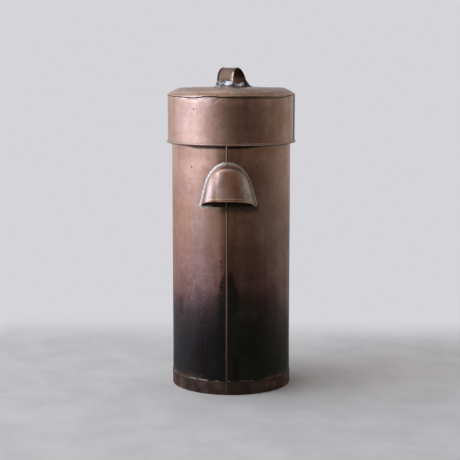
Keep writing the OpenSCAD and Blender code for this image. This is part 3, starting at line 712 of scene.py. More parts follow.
class Nodes:
    """A node tree in the making. Its methods add nodes and return values. A mask is a value or number from
    0 to 1. cover and tone change the colour made so far."""

    def __init__(self, tree, coordinates):
        self.tree = tree
        self.place = self.add("ShaderNodeTexCoord").outputs[coordinates]
        parts = self.add("ShaderNodeSeparateXYZ")
        self.put(parts.inputs[0], self.place)
        self.x, self.y, self.z = (Value(self, socket) for socket in parts.outputs)
        self.turn = self.math("ARCTAN2", self.x, self.y * -1.0)
        self.colour = None

    def add(self, kind, **settings):
        node = self.tree.nodes.new(kind)
        for key, value in settings.items():
            setattr(node, key, value)
        return node

    def put(self, socket, value):
        if isinstance(value, Value):
            value = value.socket
        if isinstance(value, bpy.types.NodeSocket):
            self.tree.links.new(value, socket)
        elif isinstance(value, tuple) and len(value) == 3 and len(socket.default_value) == 4:
            socket.default_value = (*value, 1)
        else:
            socket.default_value = value

    def math(self, operation, *values, clamp=False):
        node = self.add("ShaderNodeMath", operation=operation, use_clamp=clamp)
        for socket, value in zip(node.inputs, values):
            self.put(socket, value)
        return Value(self, node.outputs[0])

    def mix(self, share, first, second, kind="MIX"):
        node = self.add("ShaderNodeMix", data_type="RGBA", blend_type=kind, clamp_factor=True)
        self.put(node.inputs[0], share)
        self.put(node.inputs[6], first)
        self.put(node.inputs[7], second)
        return Value(self, node.outputs[2])

    def blend(self, value, low, high, first, last):
        """first where the value is below low, last where it is above high."""
        return self.mix(self.ramp(value, low, high), first, last)

    def cover(self, colour, *masks):
        """Lays a colour over the one so far, as far as all the masks allow."""
        self.colour = self.mix(together(masks), self.colour, colour)

    def tone(self, colour, *masks):
        """Multiplies the colour so far, as far as all the masks allow."""
        self.colour = self.mix(together(masks), self.colour, colour, "MULTIPLY")

    def noise(self, scale, detail=3.0, rough=0.55, warp=0.0):
        """Noise at a scale, or at a scale for each of x, y and z."""
        place = self.place
        if isinstance(scale, tuple):
            stretch = self.add("ShaderNodeMapping")
            self.put(stretch.inputs["Vector"], place)
            stretch.inputs["Scale"].default_value = scale
            place, scale = stretch.outputs[0], 1
        node = self.add("ShaderNodeTexNoise")
        settings = {"Vector": place, "Scale": scale, "Detail": detail, "Roughness": rough, "Distortion": warp}
        for name, value in settings.items():
            self.put(node.inputs[name], value)
        return Value(self, node.outputs["Fac"])

    def wobble(self, amount, *noise, **settings):
        """Noise about zero, scaled by an amount."""
        return (self.noise(*noise, **settings) - 0.5) * amount

    def ramp(self, value, low, high, first=0.0, last=1.0):
        """first below low, last above high, and a smooth step between."""
        node = self.add("ShaderNodeMapRange", interpolation_type="SMOOTHSTEP")
        self.put(node.inputs["Value"], value)
        for name, number in (("From Min", low), ("From Max", high), ("To Min", first), ("To Max", last)):
            self.put(node.inputs[name], number)
        return Value(self, node.outputs[0])

    def fall(self, value, low, high):
        """1 below low and 0 above high."""
        return self.ramp(value, low, high, 1.0, 0.0)

    def hill(self, value, low, high, soft):
        """1 between low and high, with soft sides outside them."""
        return self.ramp(value, low - soft, low) * self.fall(value, high, high + soft)

    def around(self, first, last, soft):
        """1 between two turns."""
        return self.hill(self.turn, first, last, soft)

    def between(self, low, high, soft):
        """1 between two heights."""
        return self.hill(self.z, low, high, soft)

    def tints(self, value, low, high, colours):
        """A colour ramp over (position, colour) stops, positions between low and high."""
        node = self.add("ShaderNodeValToRGB")
        stops = node.color_ramp.elements
        while len(stops) < len(colours):
            stops.new(0.5)
        for stop, (at, colour) in zip(stops, colours):
            stop.position = (at - low) / (high - low)
            stop.color = (*colour, 1)
        self.put(node.inputs[0], self.math("DIVIDE", value - low, high - low, clamp=True))
        return Value(self, node.outputs[0])

    def distance(self, point):
        node = self.add("ShaderNodeVectorMath", operation="DISTANCE")
        self.put(node.inputs[0], self.place)
        node.inputs[1].default_value = point
        return Value(self, node.outputs["Value"])


class Paint(Nodes):
    """A procedural material in the making."""

    def __init__(self, name):
        self.material = bpy.data.materials.new(name)
        self.material.use_nodes = True
        super().__init__(self.material.node_tree, "Object")
        self.shader = self.tree.nodes["Principled BSDF"]

    def bumps(self, strength, *layers):
        """Bump from (height socket, distance in metres) layers."""
        normal = None
        for height, deep in layers:
            node = self.add("ShaderNodeBump")
            node.inputs["Strength"].default_value = strength
            node.inputs["Distance"].default_value = deep
            self.put(node.inputs["Height"], height)
            if normal:
                self.put(node.inputs["Normal"], normal)
            normal = node.outputs[0]
        self.put(self.shader.inputs["Normal"], normal)

    def finish(self, rough, metal=1.0):
        self.shader.inputs["Specular IOR Level"].default_value = 0.1
        self.put(self.shader.inputs["Base Color"], self.colour)
        self.put(self.shader.inputs["Roughness"], rough)
        self.put(self.shader.inputs["Metallic"], metal)
        return self.material


COPPER = (0.53, 0.365, 0.305)
COPPER_RED = (0.52, 0.325, 0.255)
COPPER_PALE = (0.68, 0.52, 0.46)
# near black, for painted shade and painted shadow
SHADE_BLACK = (0.035, 0.020, 0.014)
SPOT = (0.08, 0.045, 0.033)
PALE_SPOT = (0.8, 0.74, 0.7)


def mottle(p, amount=1.0):
    """Old copper's unevenness: clouds, streaks, blotches, wiped bands, a fine pale bloom and dark specks.
    Returns the fine noise and the streaks, which the bumps and the shine follow."""
    cloud = p.noise(8, 4, 0.6, warp=0.6)
    streak = p.noise((70, 70, 6), 4, 0.6)
    fine = p.noise(150, 4, 0.65)
    blotch = p.noise(52, 6, 0.7, warp=0.5)
    wiped = p.noise((9, 9, 150), 5, 0.65)
    speck = p.noise(380, 2, 0.5)
    for noise, low, high, first, last, tone in (
        (cloud, 0.38, 0.66, 0.0, 0.5, (0.72, 0.66, 0.62)),
        (streak, 0.46, 0.72, 0.0, 0.4, (0.92, 0.80, 0.74)),
        (blotch, 0.38, 0.58, 0.26, 0.0, (0.66, 0.58, 0.55)),
        (blotch, 0.50, 0.70, 0.0, 0.26, (1.22, 1.30, 1.36)),
        (wiped, 0.53, 0.66, 0.0, 0.22, (0.78, 0.74, 0.72)),
        (fine, 0.50, 0.78, 0.0, 0.34, (1.35, 1.42, 1.45)),
        (speck, 0.68, 0.76, 0.0, 0.6, (0.30, 0.25, 0.24)),
    ):
        p.tone(tone, p.ramp(noise, low, high, first * amount, last * amount))
    return fine, streak


def shine(p, fine, streak, smooth, rough, grain=0.08):
    """Roughness that follows the streaks, with the fine noise on top."""
    return p.ramp(streak, 0.2, 0.8, smooth, rough) + p.ramp(fine, 0.3, 0.8, 0.0, grain)


def sheet_bumps(p, fine):
    p.bumps(0.5, (p.noise(26, 2, 0.5), 0.0011), (fine, 0.0001))


def spots(p, r, places, colour):
    """Small spots at (turn in degrees, height, size), on a cylinder of radius r."""
    for turn, z, size in places:
        a = radians(turn)
        near = p.distance((r * sin(a), -r * cos(a), z))
        p.cover(colour, p.ramp(near, size * 0.4, size, 0.85, 0.0))


def local_tones(p, tones):
    """Tones over (turns from and to, softness, heights from and to, softness, colour)."""
    for first, last, beside, low, high, above, colour in tones:
        p.tone(colour, p.around(first, last, beside), p.between(low, high, above))


# ---- Copper of the lid ----

SKIRT_SPOTS = [
    (-31.5, 0.564, 0.0028), (-28.8, 0.5655, 0.0014), (61, 0.520, 0.002),
    (77, 0.5065, 0.005), (75, 0.4990, 0.005), (78, 0.5120, 0.004),
]


def skirt_light_bands(p):
    """Painted highlight and shade on the skirt: brighter and duller bands between two turns."""
    p.tone((1.32, 1.32, 1.34), p.around(0.05, 0.60, 0.25), p.ramp(p.z, 0.566, 0.580), 0.9)
    for first, last, tone in (
        (-1.80, -1.02, (0.84, 0.86, 0.87)),
        (0.36, 0.66, (1.18, 1.15, 1.14)),
        (0.98, 1.10, (1.10, 1.20, 1.24)),
    ):
        p.tone(tone, p.around(first, last, 0.08))


def skirt_glints(p):
    """Painted highlights on the skirt: pale here and there just under the lid's edge, and on the knocked-in
    patch.
    """
    glint = p.hill(p.z + p.wobble(0.006, 70, 3, 0.6), 0.5835, 0.5850, 0.0022)
    here = p.ramp(p.noise(42, 3, 0.6), 0.42, 0.56)
    p.cover((0.74, 0.64, 0.61), glint, p.around(-0.86, -0.30, 0.15), here, 0.55)
    patch = p.distance((SKIRT_R * sin(PATCH_TURN), -SKIRT_R * cos(PATCH_TURN), PATCH_Z))
    p.cover((0.70, 0.56, 0.52), p.ramp(patch + p.wobble(0.02, 80, 4, 0.6), 0.004, 0.013, 0.45, 0.0))


def skirt_seam_shading(p):
    """A painted highlight just before the skirt's seam, and black painted shadow past it with a ragged end.
    Returns the shadow's mask.
    """
    from_seam = p.turn - LID_SEAM_TURN
    ragged = p.wobble(0.10, 70, 4, 0.7) + p.wobble(0.20, (60, 60, 16), 4, 0.6)
    before = p.ramp(from_seam + ragged * 0.4, -0.115, -0.060)
    p.cover((0.56, 0.47, 0.50), before, p.ramp(from_seam, -0.042, -0.034, 0.6, 0.0))
    ragged_end = p.fall(from_seam + ragged, 0.060, 0.130)
    past = p.ramp(from_seam, -0.050, -0.036) * ragged_end
    p.cover(SHADE_BLACK, past, 0.95)
    return past


def bead_wear_and_shade(p):
    """The skirt's bead is worn outside, and painted black underneath as shade."""
    worn = p.mix(p.around(-1.8, -0.60, 0.25), (0.40, 0.27, 0.22), (0.35, 0.26, 0.228))
    p.cover(worn, p.ramp(p.z, bead_z + BEAD_R, bead_z + BEAD_R * 1.4, 0.75, 0.0))
    p.cover(SHADE_BLACK, p.ramp(p.z, bead_z - BEAD_R * 0.9, bead_z - BEAD_R * 0.2, 0.85, 0.0))


def skirt_copper(name):
    """The skirt: the brightest copper, with painted highlights and shade, spots, and painted shadow past its
    seam.
    """
    p = Paint(name)
    p.colour = p.blend(p.noise(11, 3, 0.6, warp=0.4), 0.40, 0.66, COPPER, COPPER_RED)
    red = p.around(radians(50), radians(62), 0.20)
    p.cover((0.47, 0.26, 0.185), red, p.between(0.540, 0.550, 0.014), 0.5)
    fine, streak = mottle(p)
    skirt_light_bands(p)
    skirt_glints(p)
    spots(p, SKIRT_R, SKIRT_SPOTS, SPOT)
    past = skirt_seam_shading(p)
    bead_wear_and_shade(p)
    sheet_bumps(p, fine)
    return p.finish(shine(p, fine, streak, 0.27, 0.36), 1.0 - past)


def lid_copper(name):
    """The lid's top: duller than the skirt, darker over its upper part, and brown in patches."""
    p = Paint(name)
    flat = p.ramp(p.z + p.wobble(0.008, 14, 4, 0.6), lid_z + 0.003, lid_flat_z - 0.001)
    p.colour = p.mix(flat, (0.49, 0.355, 0.285), (0.37, 0.275, 0.225))
    p.cover((0.36, 0.225, 0.16), p.ramp(p.noise(30, 5, 0.65), 0.48, 0.70, 0.0, 0.6))
    # the edge is painted pale, part wear and part painted highlight, less so on the right
    edge = p.between(lid_edge_z - 0.002, lid_z - 0.0012, 0.001)
    p.cover(COPPER_PALE, edge, 0.6 - p.around(0.05, 1.2, 0.3) * 0.45)
    local_tones(p, [
        (-0.42, 0.70, 0.25, lid_z + 0.0012, lid_z + 0.0045, 0.0012, (0.78, 0.69, 0.60)),
        (0.12, 0.62, 0.15, 0.0, lid_z - 0.0004, 0.0012, (0.82, 0.72, 0.62)),
        # painted highlight on the left of the edge
        (-0.40, -0.20, 0.08, 0.0, lid_z, 0.0016, (1.35, 1.32, 1.35)),
        # painted highlight over the left of the shoulder
        (-1.9, -0.1, 0.3, lid_z + 0.0045, lid_flat_z + 0.01, 0.003, (1.22, 1.18, 1.14)),
    ])
    fine, streak = mottle(p, 1.2)
    p.cover((0.16, 0.10, 0.07), p.ramp(p.noise(55, 4, 0.6, warp=1.0), 0.58, 0.70, 0.0, 0.7))
    # scuffs and dark marks on the shoulder, most of them on the right
    scuffs = p.ramp(p.noise((26, 60, 160), 5, 0.7), 0.54, 0.66, 0.0, 0.6)
    p.cover((0.20, 0.14, 0.11), scuffs, 0.4 + p.around(0.7, 1.8, 0.9) * 0.6)
    sheet_bumps(p, fine)
    return p.finish(shine(p, fine, streak, 0.34, 0.46))


def handle_copper(name):
    """The handle: dark brown patina, with a painted highlight along one rolled edge and painted shade inside
    the loop.
    """
    p = Paint(name)
    c, s = cos(HANDLE_TURN), sin(HANDLE_TURN)
    from_middle = p.x - HANDLE_X
    across = p.y * c - from_middle * s
    along = from_middle * c + p.y * s
    share = p.math("MINIMUM", (p.z - lid_flat_z) / HANDLE_H, 1.0)
    p.colour = p.blend(p.noise(60, 4, 0.6), 0.40, 0.62, (0.235, 0.165, 0.130), (0.155, 0.100, 0.076))
    p.cover((0.135, 0.078, 0.064), p.ramp(share, 0.62, 0.25, 0.0, 0.85))
    edge = HANDLE_W / 2
    p.cover((0.060, 0.038, 0.030), p.ramp(across, edge - 0.0066, edge - 0.0046, 0.0, 0.8))
    # painted highlight along one rolled edge, short of the top
    glint = p.fall(across, 0.0026 - edge, 0.0040 - edge) * p.ramp(share, 0.86, 0.72)
    broken = p.ramp(p.noise(90, 3, 0.6), 0.3, 0.55, 0.5, 1.0)
    p.cover((0.88, 0.76, 0.68), glint, p.ramp(along, -0.004, 0.004, 1.0, 0.25), broken)
    fine, streak = mottle(p, 1.3)
    # the inner face lies inside the arch at every height, painted as shade: near black above, brown below
    out = (along + share * HANDLE_LEAN) / (HANDLE_L / 2)
    ring = share * share + out * out
    upper_loop = p.ramp(share + p.wobble(0.5, 90, 4, 0.6), 0.35, 0.65)
    inside = p.mix(upper_loop, (0.22, 0.15, 0.10), (0.030, 0.020, 0.015))
    p.cover(inside, p.ramp(ring, 0.945, 0.965, 0.92, 0.0))
    p.bumps(0.6, (p.noise(70, 3, 0.6), 0.0006), (fine, 0.00015))
    return p.finish(shine(p, fine, streak, 0.30, 0.40, 0.10))


def skirt_seam_copper(name):
    """The skirt's seam: a fold painted pale as a highlight, with its open edge painted black as shadow."""
    p = Paint(name)
    p.colour = COPPER_PALE
    fine, _ = mottle(p)
    black = p.ramp(p.turn - LID_SEAM_TURN, -0.018, -0.010, 0.0, 0.97)
    p.cover(SHADE_BLACK, black)
    p.bumps(0.5, (fine, 0.0002))
    return p.finish(p.ramp(fine, 0.3, 0.8, 0.28, 0.40), 1.0 - black)


# ---- Copper of the drum ----

# Colours by height, in metres. The wall: clean copper, heat tints, then fire scale
WALL_TINTS = [
    (0.000, (0.03, 0.026, 0.0265)), (0.09, (0.03, 0.0265, 0.0275)), (0.13, (0.041, 0.033, 0.034)),
    (0.15, (0.054, 0.04, 0.041)), (0.169, (0.07, 0.048, 0.05)), (0.19, (0.12, 0.076, 0.078)),
    (0.209, (0.205, 0.12, 0.113)), (0.246, (0.275, 0.162, 0.15)), (0.268, (0.296, 0.177, 0.16)),
    (0.328, (0.355, 0.226, 0.182)), (0.4, (0.41, 0.255, 0.2)), (0.47, (0.515, 0.325, 0.255)),
    (0.6, (0.52, 0.335, 0.265)),
]
SEAM_TINTS = [
    (0.000, (0.12, 0.092, 0.08)), (0.045, (0.08, 0.06, 0.054)), (0.12, (0.125, 0.092, 0.082)),
    (0.19, (0.17, 0.114, 0.1)), (0.28, (0.215, 0.136, 0.114)), (0.4, (0.265, 0.178, 0.145)),
    (0.6, (0.33, 0.24, 0.195)),
]
TINTS_TOP = 0.60

# Where the wall is lighter, darker, greener or browner, under the soot and over it
WALL_TONES = [
    (0.62, 1.20, 0.15, 0.260, 0.455, 0.04, (1.07, 1.15, 1.15)),
    (-1.40, -0.78, 0.20, 0.190, 0.370, 0.04, (1.06, 0.97, 0.86)),
    (-0.24, 0.42, 0.12, 0.275, 0.360, 0.03, (1.04, 1.00, 0.90)),
    (0.14, 0.42, 0.10, 0.165, 0.215, 0.02, (1.20, 1.24, 1.10)),
    (0.70, 0.98, 0.10, 0.165, 0.200, 0.02, (0.70, 0.76, 0.76)),
    # the next three rows: painted shade under the lid's bead on the left and at the front, lighter to its
    # right
    (-0.95, -0.40, 0.20, 0.475, 1.0, 0.02, (0.84, 0.82, 0.80)),
    (-0.14, 0.20, 0.10, 0.475, 1.0, 0.02, (0.84, 0.82, 0.80)),
    (0.30, 0.60, 0.15, 0.470, 1.0, 0.03, (1.28, 1.24, 1.22)),
    (0.04, 0.62, 0.12, 0.060, 0.300, 0.04, (0.84, 0.84, 0.82)),
]
SOOT_TONES = [
    (0.12, 0.42, 0.06, 0.312, 0.345, 0.012, (0.80, 0.74, 0.71)),
    (0.12, 0.26, 0.06, 0.352, 0.385, 0.012, (0.84, 0.88, 0.88)),
    (-1.00, -0.90, 0.06, 0.160, 0.182, 0.012, (0.74, 0.66, 0.62)),
    (-0.41, -0.36, 0.06, 0.160, 0.182, 0.012, (0.78, 0.76, 0.76)),
    (1.27, 1.45, 0.06, 0.150, 0.190, 0.012, (1.30, 1.26, 1.26)),
    (-0.39, -0.20, 0.06, 0.458, 0.500, 0.012, (1.18, 1.22, 1.24)),
    (0.10, 0.15, 0.06, 0.036, 0.070, 0.012, (0.70, 0.64, 0.66)),
    (-1.50, -1.10, 0.06, 0.036, 0.070, 0.012, (0.74, 0.70, 0.70)),
]
# Tones of the foot band, between two turns
FOOT_TONES = [
    (-1.60, -1.06, (0.66, 0.60, 0.60)),
    # painted highlight on the left of the band
    (-0.99, -0.90, (1.35, 1.18, 1.14)),
    (-0.74, -0.52, (0.54, 0.60, 0.62)),
    (-0.30, -0.19, (0.76, 0.74, 0.70)),
    (-0.12, -0.06, (1.35, 1.28, 1.20)),
    (0.44, 0.66, (1.75, 1.55, 1.45)),
]
WALL_SPOTS = [
    (-37.4, 0.451, 0.0028), (27.7, 0.4536, 0.0025), (-6.3, 0.268, 0.004), (-5.6, 0.284, 0.0015),
    (-4.4, 0.292, 0.0013), (-6.6, 0.262, 0.0016), (-4.2, 0.277, 0.0013), (-5.2, 0.258, 0.003),
    (57, 0.47, 0.002), (-52, 0.407, 0.002),
]
WALL_PALE_SPOTS = [(68.5, 0.418, 0.0016), (69.5, 0.410, 0.0013)]


def heat_tints(p, from_seam, uneven):
    """Colours the wall by height. Returns the level that the tints follow."""
    drips = p.wobble(0.026, (150, 150, 22), 5, 0.7)
    front, side = p.hill(from_seam, 0.06, 0.36, 0.14), p.hill(from_seam, 1.0, 1.9, 0.4)
    lower = front * 0.017 - side * 0.026
    level = p.z + uneven + drips - lower
    p.colour = p.tints(level, 0.0, TINTS_TOP, WALL_TINTS)
    # darker along the seam, wider on its right
    aside = abs(from_seam) * p.ramp(from_seam, -0.01, 0.01, 1.0, 0.6)
    seam_darkening = p.ramp(aside + uneven * 0.8, 0.05, 0.14, 0.9, 0.0)
    p.tone((0.68, 0.60, 0.50), seam_darkening, p.between(0.18, 0.455, 0.03))
    # browner on the right of the seam, half way up
    across = from_seam + uneven * 2.0
    near, far = p.hill(across, 0.05, 0.50, 0.16), p.hill(across, 0.05, 0.85, 0.14)
    brown = near * 0.5 + far * 0.45
    p.tone((0.66, 0.62, 0.59), brown, p.hill(p.z + uneven, 0.185, 0.292, 0.03))
    p.tone((0.88, 0.87, 0.85), p.ramp(p.z, 0.09, 0.28, 0.9, 0.0))
    local_tones(p, WALL_TONES)
    return level


def soot(p, from_seam, coarse):
    """Soot that ran up beside the seam: a narrow speckled run on its left, a wider one on its right."""
    small = p.noise(330, 3, 0.7) - 0.5
    high = p.z + coarse * 0.035 + small * 0.018
    left_reach = p.ramp(high, 0.214, 0.252, 0.135, 0.026)
    right_reach = p.ramp(high, 0.200, 0.252, 0.198, 0.090)
    reach = p.blend(from_seam, -0.006, 0.006, left_reach, right_reach)
    inside = reach - abs(from_seam) + coarse * 0.13 + small * 0.22
    holes = p.ramp(p.noise((420, 420, 200), 3, 0.6), 0.46, 0.54)
    holes = holes * p.hill(from_seam, -0.30, -0.012, 0.008) * p.ramp(p.z, 0.168, 0.196) * 0.45
    top = p.ramp(high, 0.244, 0.254, 0.92, 0.0)
    p.cover((0.024, 0.022, 0.020), p.ramp(inside, -0.006, 0.016), top, 1.0 - holes)
    # below the soot line the right side is a greener black, and the left side darker beside the seam
    green = p.around(0.05, 1.35, 0.3) * p.ramp(high, 0.14, 0.215, 0.9, 0.0)
    p.tone((0.97, 1.22, 1.05), green)
    p.tone((1.22, 1.15, 1.15), green, p.around(0.72, 1.40, 0.2))
    left = p.hill(from_seam + coarse * 0.12, -0.50, 0.0, 0.10)
    p.tone((0.60, 0.60, 0.60), left, p.ramp(high, 0.11, 0.19, 0.75, 0.0))
    local_tones(p, SOOT_TONES)


def fire_scale(p):
    """Streaks of scale over the tints, a pale haze most on the left, and upright scuffs on the right."""
    streaks = p.ramp(p.noise((90, 90, 30), 5, 0.7), 0.58, 0.66)
    p.tone((0.55, 0.50, 0.50), streaks, p.between(0.09, 0.25, 0.05), 0.45)
    haze = p.ramp(p.noise(240, 5, 0.75), 0.46, 0.66) * p.between(0.06, 0.24, 0.05)
    p.tone((1.45, 1.60, 1.80), haze, 0.15 + p.around(-1.7, -0.5, 0.3) * 0.65)
    scuffs = p.ramp(p.noise((240, 240, 14), 5, 0.7), 0.58, 0.70)
    p.tone((1.35, 1.5, 1.6), scuffs, p.around(0.45, 1.15, 0.25), p.between(0.20, 0.44, 0.05), 0.5)


def crevice_shade_and_grime(p, from_seam, uneven):
    """Painted shade with grime: dark lines along the seam's edges, and a dark band under the lid's bead as
    painted shadow.
    """
    # dark lines along the seam's edges: painted shade with grime, strongest on the right
    seam_edge = SEAM_W / 2 / WALL_R
    left = p.fall(from_seam, -0.01, 0.01)
    strength = left * p.ramp(p.z, 0.30, 0.24, 0.30, 0.65) + (1.0 - left) * 0.70
    edge = p.hill(abs(from_seam), seam_edge, seam_edge + 0.006, 0.005)
    p.cover((0.055, 0.026, 0.020), edge, strength, p.ramp(p.z, FOOT_H, FOOT_H + 0.003))
    # painted shadow with grime under the bead, reaching lowest at the front; behind the skirt it fades to a
    # trace
    facing = p.around(radians(-28), radians(8), radians(26))
    reach = p.z + facing * 0.0042 + p.wobble(0.002, 40, 2, 0.5)
    under_bead_shadow = p.ramp(reach, bead_z - BEAD_R - 0.0036, bead_z - BEAD_R + 0.0006, 0.0, 0.95)
    fade_up = p.ramp(p.z + uneven * 0.4, bead_z + 0.002, bead_z + 0.016, 1.0, 0.12)
    p.cover(SHADE_BLACK, under_bead_shadow, fade_up)


def grip_shade_and_flux(p):
    """Painted shade inside the grips and painted shadow under their mouths, and grey flux that ran from
    their corners. Returns the mask of the painted shade inside.
    """
    # painted shade on the wall inside the grips
    up = p.z - GRIP_Z
    half = GRIP_W / 2 - 0.001 - up * 0.22
    grip_shade = p.ramp(half - abs(p.x), 0.0, 0.004) * p.hill(up, -0.0005, 0.070, 0.0015)
    grip_shade = grip_shade * p.ramp(abs(p.y), 0.05, 0.06)
    p.cover((0.016, 0.012, 0.009), grip_shade, 0.93)
    # painted shadow under the mouth, most of it right of the middle; grey flux on the left
    ragged = p.wobble(0.016, 60, 4, 0.7)
    low, ends = up + ragged, p.fall(up, 0.0, 0.004)
    dark = p.hill(p.x + ragged, -0.010, 0.052, 0.012)
    p.cover((0.050, 0.040, 0.032), dark, p.ramp(low, -0.019, -0.004), ends, 0.72)
    grey = p.hill(p.x, -0.055, -0.032, 0.006) * p.ramp(p.noise(110, 4, 0.7), 0.42, 0.60, 0.2, 0.85)
    p.cover((0.34, 0.36, 0.34), grey, p.ramp(low, -0.008, 0.0), ends)
    return grip_shade


def foot_band(p, coarse):
    """Rust-red foot band, and the red that has crept up the wall from it."""
    creep = p.ramp(p.z + coarse * 0.03, FOOT_H, FOOT_H + 0.013, 0.75, 0.0)
    sides = p.around(-1.6, -0.60, 0.3) + p.around(0.85, 1.6, 0.3)
    p.cover((0.085, 0.056, 0.048), sides, creep)
    wall = p.colour
    p.colour = p.blend(p.noise(34, 5, 0.7), 0.40, 0.66, (0.066, 0.044, 0.037), (0.17, 0.098, 0.080))
    p.cover((0.042, 0.034, 0.028), p.around(-0.04, 0.62, 0.25), 0.9)
    ragged_turn = p.turn + coarse * 0.2
    for first, last, tone in FOOT_TONES:
        p.tone(tone, p.hill(ragged_turn, first, last, 0.08))
    p.cover((0.045, 0.033, 0.028), p.ramp(p.z, 0.018, 0.027, 0.0, 0.5))
    above = p.ramp(p.z + coarse * 0.006, FOOT_H - 0.0016, FOOT_H + 0.0004)
    p.cover(wall, above)


def wall_copper(name):
    """The wall: copper above, through heat tints, to fire scale and a red-brown foot band."""
    p = Paint(name)
    from_seam = p.turn - SEAM_TURN
    uneven = p.wobble(0.050, 15, 5, 0.62, warp=0.8)
    coarse = p.noise(60, 4, 0.65) - 0.5
    level = heat_tints(p, from_seam, uneven)
    soot(p, from_seam, coarse)
    fine, streak = mottle(p)
    fire_scale(p)
    crevice_shade_and_grime(p, from_seam, uneven)
    grip_shade = grip_shade_and_flux(p)
    foot_band(p, coarse)
    spots(p, WALL_R, WALL_SPOTS, SPOT)
    spots(p, WALL_R, WALL_PALE_SPOTS, PALE_SPOT)
    sheet_bumps(p, fine)
    duller = p.ramp(p.z, 0.30, 0.46, 0.15, 0.01) + p.ramp(level, 0.13, 0.26, 0.06, 0.0)
    return p.finish(shine(p, fine, streak, 0.30, 0.38) + duller + grip_shade * 0.3)


def seam_copper(name):
    """The wall's seam: dull, burnt with the wall below, and painted dark as shade inside the grips."""
    p = Paint(name)
    p.colour = p.tints(p.z + p.wobble(0.04, 30, 4, 0.6), 0.0, TINTS_TOP, SEAM_TINTS)
    fine, _ = mottle(p)
    # painted shade where the seam runs under the grips
    p.cover((0.030, 0.022, 0.017), p.between(GRIP_Z - 0.004, GRIP_Z + 0.070, 0.014), 0.9)
    p.bumps(0.5, (p.noise(160, 3, 0.6), 0.0004), (fine, 0.0001))
    return p.finish(p.ramp(fine, 0.3, 0.8, 0.30, 0.42))


def grip_light_bands(p, up):
    """Painted highlight and shade in upright bands across a grip, and browner copper along its lip and over
    its crown.
    """
    across = p.x + p.wobble(0.01, 22, 3, 0.6)
    dull = (0.32, 0.215, 0.175)
    p.colour = p.blend(across, -0.043, -0.037, dull, (0.47, 0.365, 0.335))
    p.cover(dull, p.ramp(across, -0.032, -0.028))
    p.cover((0.62, 0.48, 0.43), p.ramp(across, -0.024, -0.018))
    right = p.blend(up, 0.022, 0.044, (0.68, 0.475, 0.385), (0.56, 0.29, 0.185))
    p.cover(right, p.ramp(across, -0.014, 0.012))
    p.cover((0.46, 0.24, 0.15), p.ramp(up + p.wobble(0.002, 40, 2, 0.5), 0.0165, 0.0195, 0.4, 0.0))
    low = p.hill(p.x, -0.029, -0.020, 0.003) + p.hill(p.x, 0.018, 0.030, 0.006)
    p.tone((0.84, 0.74, 0.64), low, p.fall(up, 0.016, 0.030))
    p.tone((0.74, 0.66, 0.62), p.fall(p.x, -0.049, -0.043))
    p.cover((0.34, 0.17, 0.12), p.ramp(up, 0.034, 0.058), p.ramp(p.x, -0.020, -0.002, 0.15, 0.85))


def grip_painted_light(p, up, slant):
    """Painted light on a grip. Its crown turns up to the wall and shows only the dark wall, so it is painted
    paler, a painted reflection. A pale strip down each side, strongest on the left, is a painted highlight,
    and the flanks outside it are painted darker as shade."""
    out = p.math("SQRT", p.x * p.x + p.y * p.y)
    flat = p.fall(out, WALL_R + 0.016, WALL_R + 0.026)
    p.cover((0.66, 0.46, 0.38), flat, p.ramp(up, 0.056, 0.066))
    side = abs(p.x) + slant + p.wobble(0.006, 40, 4, 0.6)
    p.cover((0.62, 0.52, 0.49), p.hill(side, 0.0410, 0.0425, 0.003), p.ramp(p.x, -0.01, 0.01, 0.6, 0.1))
    p.cover((0.36, 0.25, 0.21), p.ramp(side, 0.0455, 0.0500, 0.0, 0.75))


def grip_smear(p, up, slant):
    """Flux and tin smeared over the flank on the drum's right-hand side. Returns the smear's mask."""
    flank = p.x - 0.028 + slant + p.wobble(0.013, 60, 5, 0.75)
    smear = p.ramp(flank, -0.003, 0.015, 0.0, 0.9)
    tin = p.blend(p.noise(130, 4, 0.7), 0.40, 0.62, (0.44, 0.35, 0.30), (0.72, 0.61, 0.55))
    p.cover(tin, smear)
    p.cover((0.76, 0.67, 0.62), p.ramp(flank, 0.010, 0.018), p.ramp(up, 0.022, 0.040, 0.0, 0.8))
    return smear


def grip_copper(name):
    """A cup grip: redder copper, worn smooth, with painted highlight and shade in bands."""
    p = Paint(name)
    up = p.z - GRIP_Z
    slant = up * FLANK_SLOPE
    grip_light_bands(p, up)
    grip_painted_light(p, up, slant)
    fine, streak = mottle(p, 0.7)
    p.cover(COPPER_PALE, p.ramp(p.noise((30, 30, 120), 5, 0.7), 0.58, 0.70, 0.0, 0.25))
    smear = grip_smear(p, up, slant)
    p.bumps(0.5, (p.noise(45, 2, 0.5), 0.0008), (fine, 0.00012))
    return p.finish(shine(p, fine, streak, 0.25, 0.34) + smear * 0.30)


# ---- Grime, solder, tin and iron ----


# A dark rough paint: the flux stain, and painted shade in the grips' crevices and under the lid's edge
def grime_and_shade(name, dark=(0.022, 0.013, 0.009), light=(0.06, 0.036, 0.026)):
    p = Paint(name)
    fine = p.noise(240, 4, 0.6)
    p.colour = p.blend(fine, 0.4, 0.7, dark, light)
    p.bumps(0.5, (fine, 0.0003))
    return p.finish(p.ramp(fine, 0.3, 0.8, 0.6, 0.8), 0.3)


def solder_skin(p, lumps, smooth, rough):
    """Ends a solder's paint: lumpy, and finely grained."""
    p.bumps(0.6, (p.noise(180, 3, 0.6), 0.0008), (p.noise(900, 2, 0.5), 0.00015))
    return p.finish(p.ramp(lumps, 0.3, 0.7, smooth, rough), 0.95)


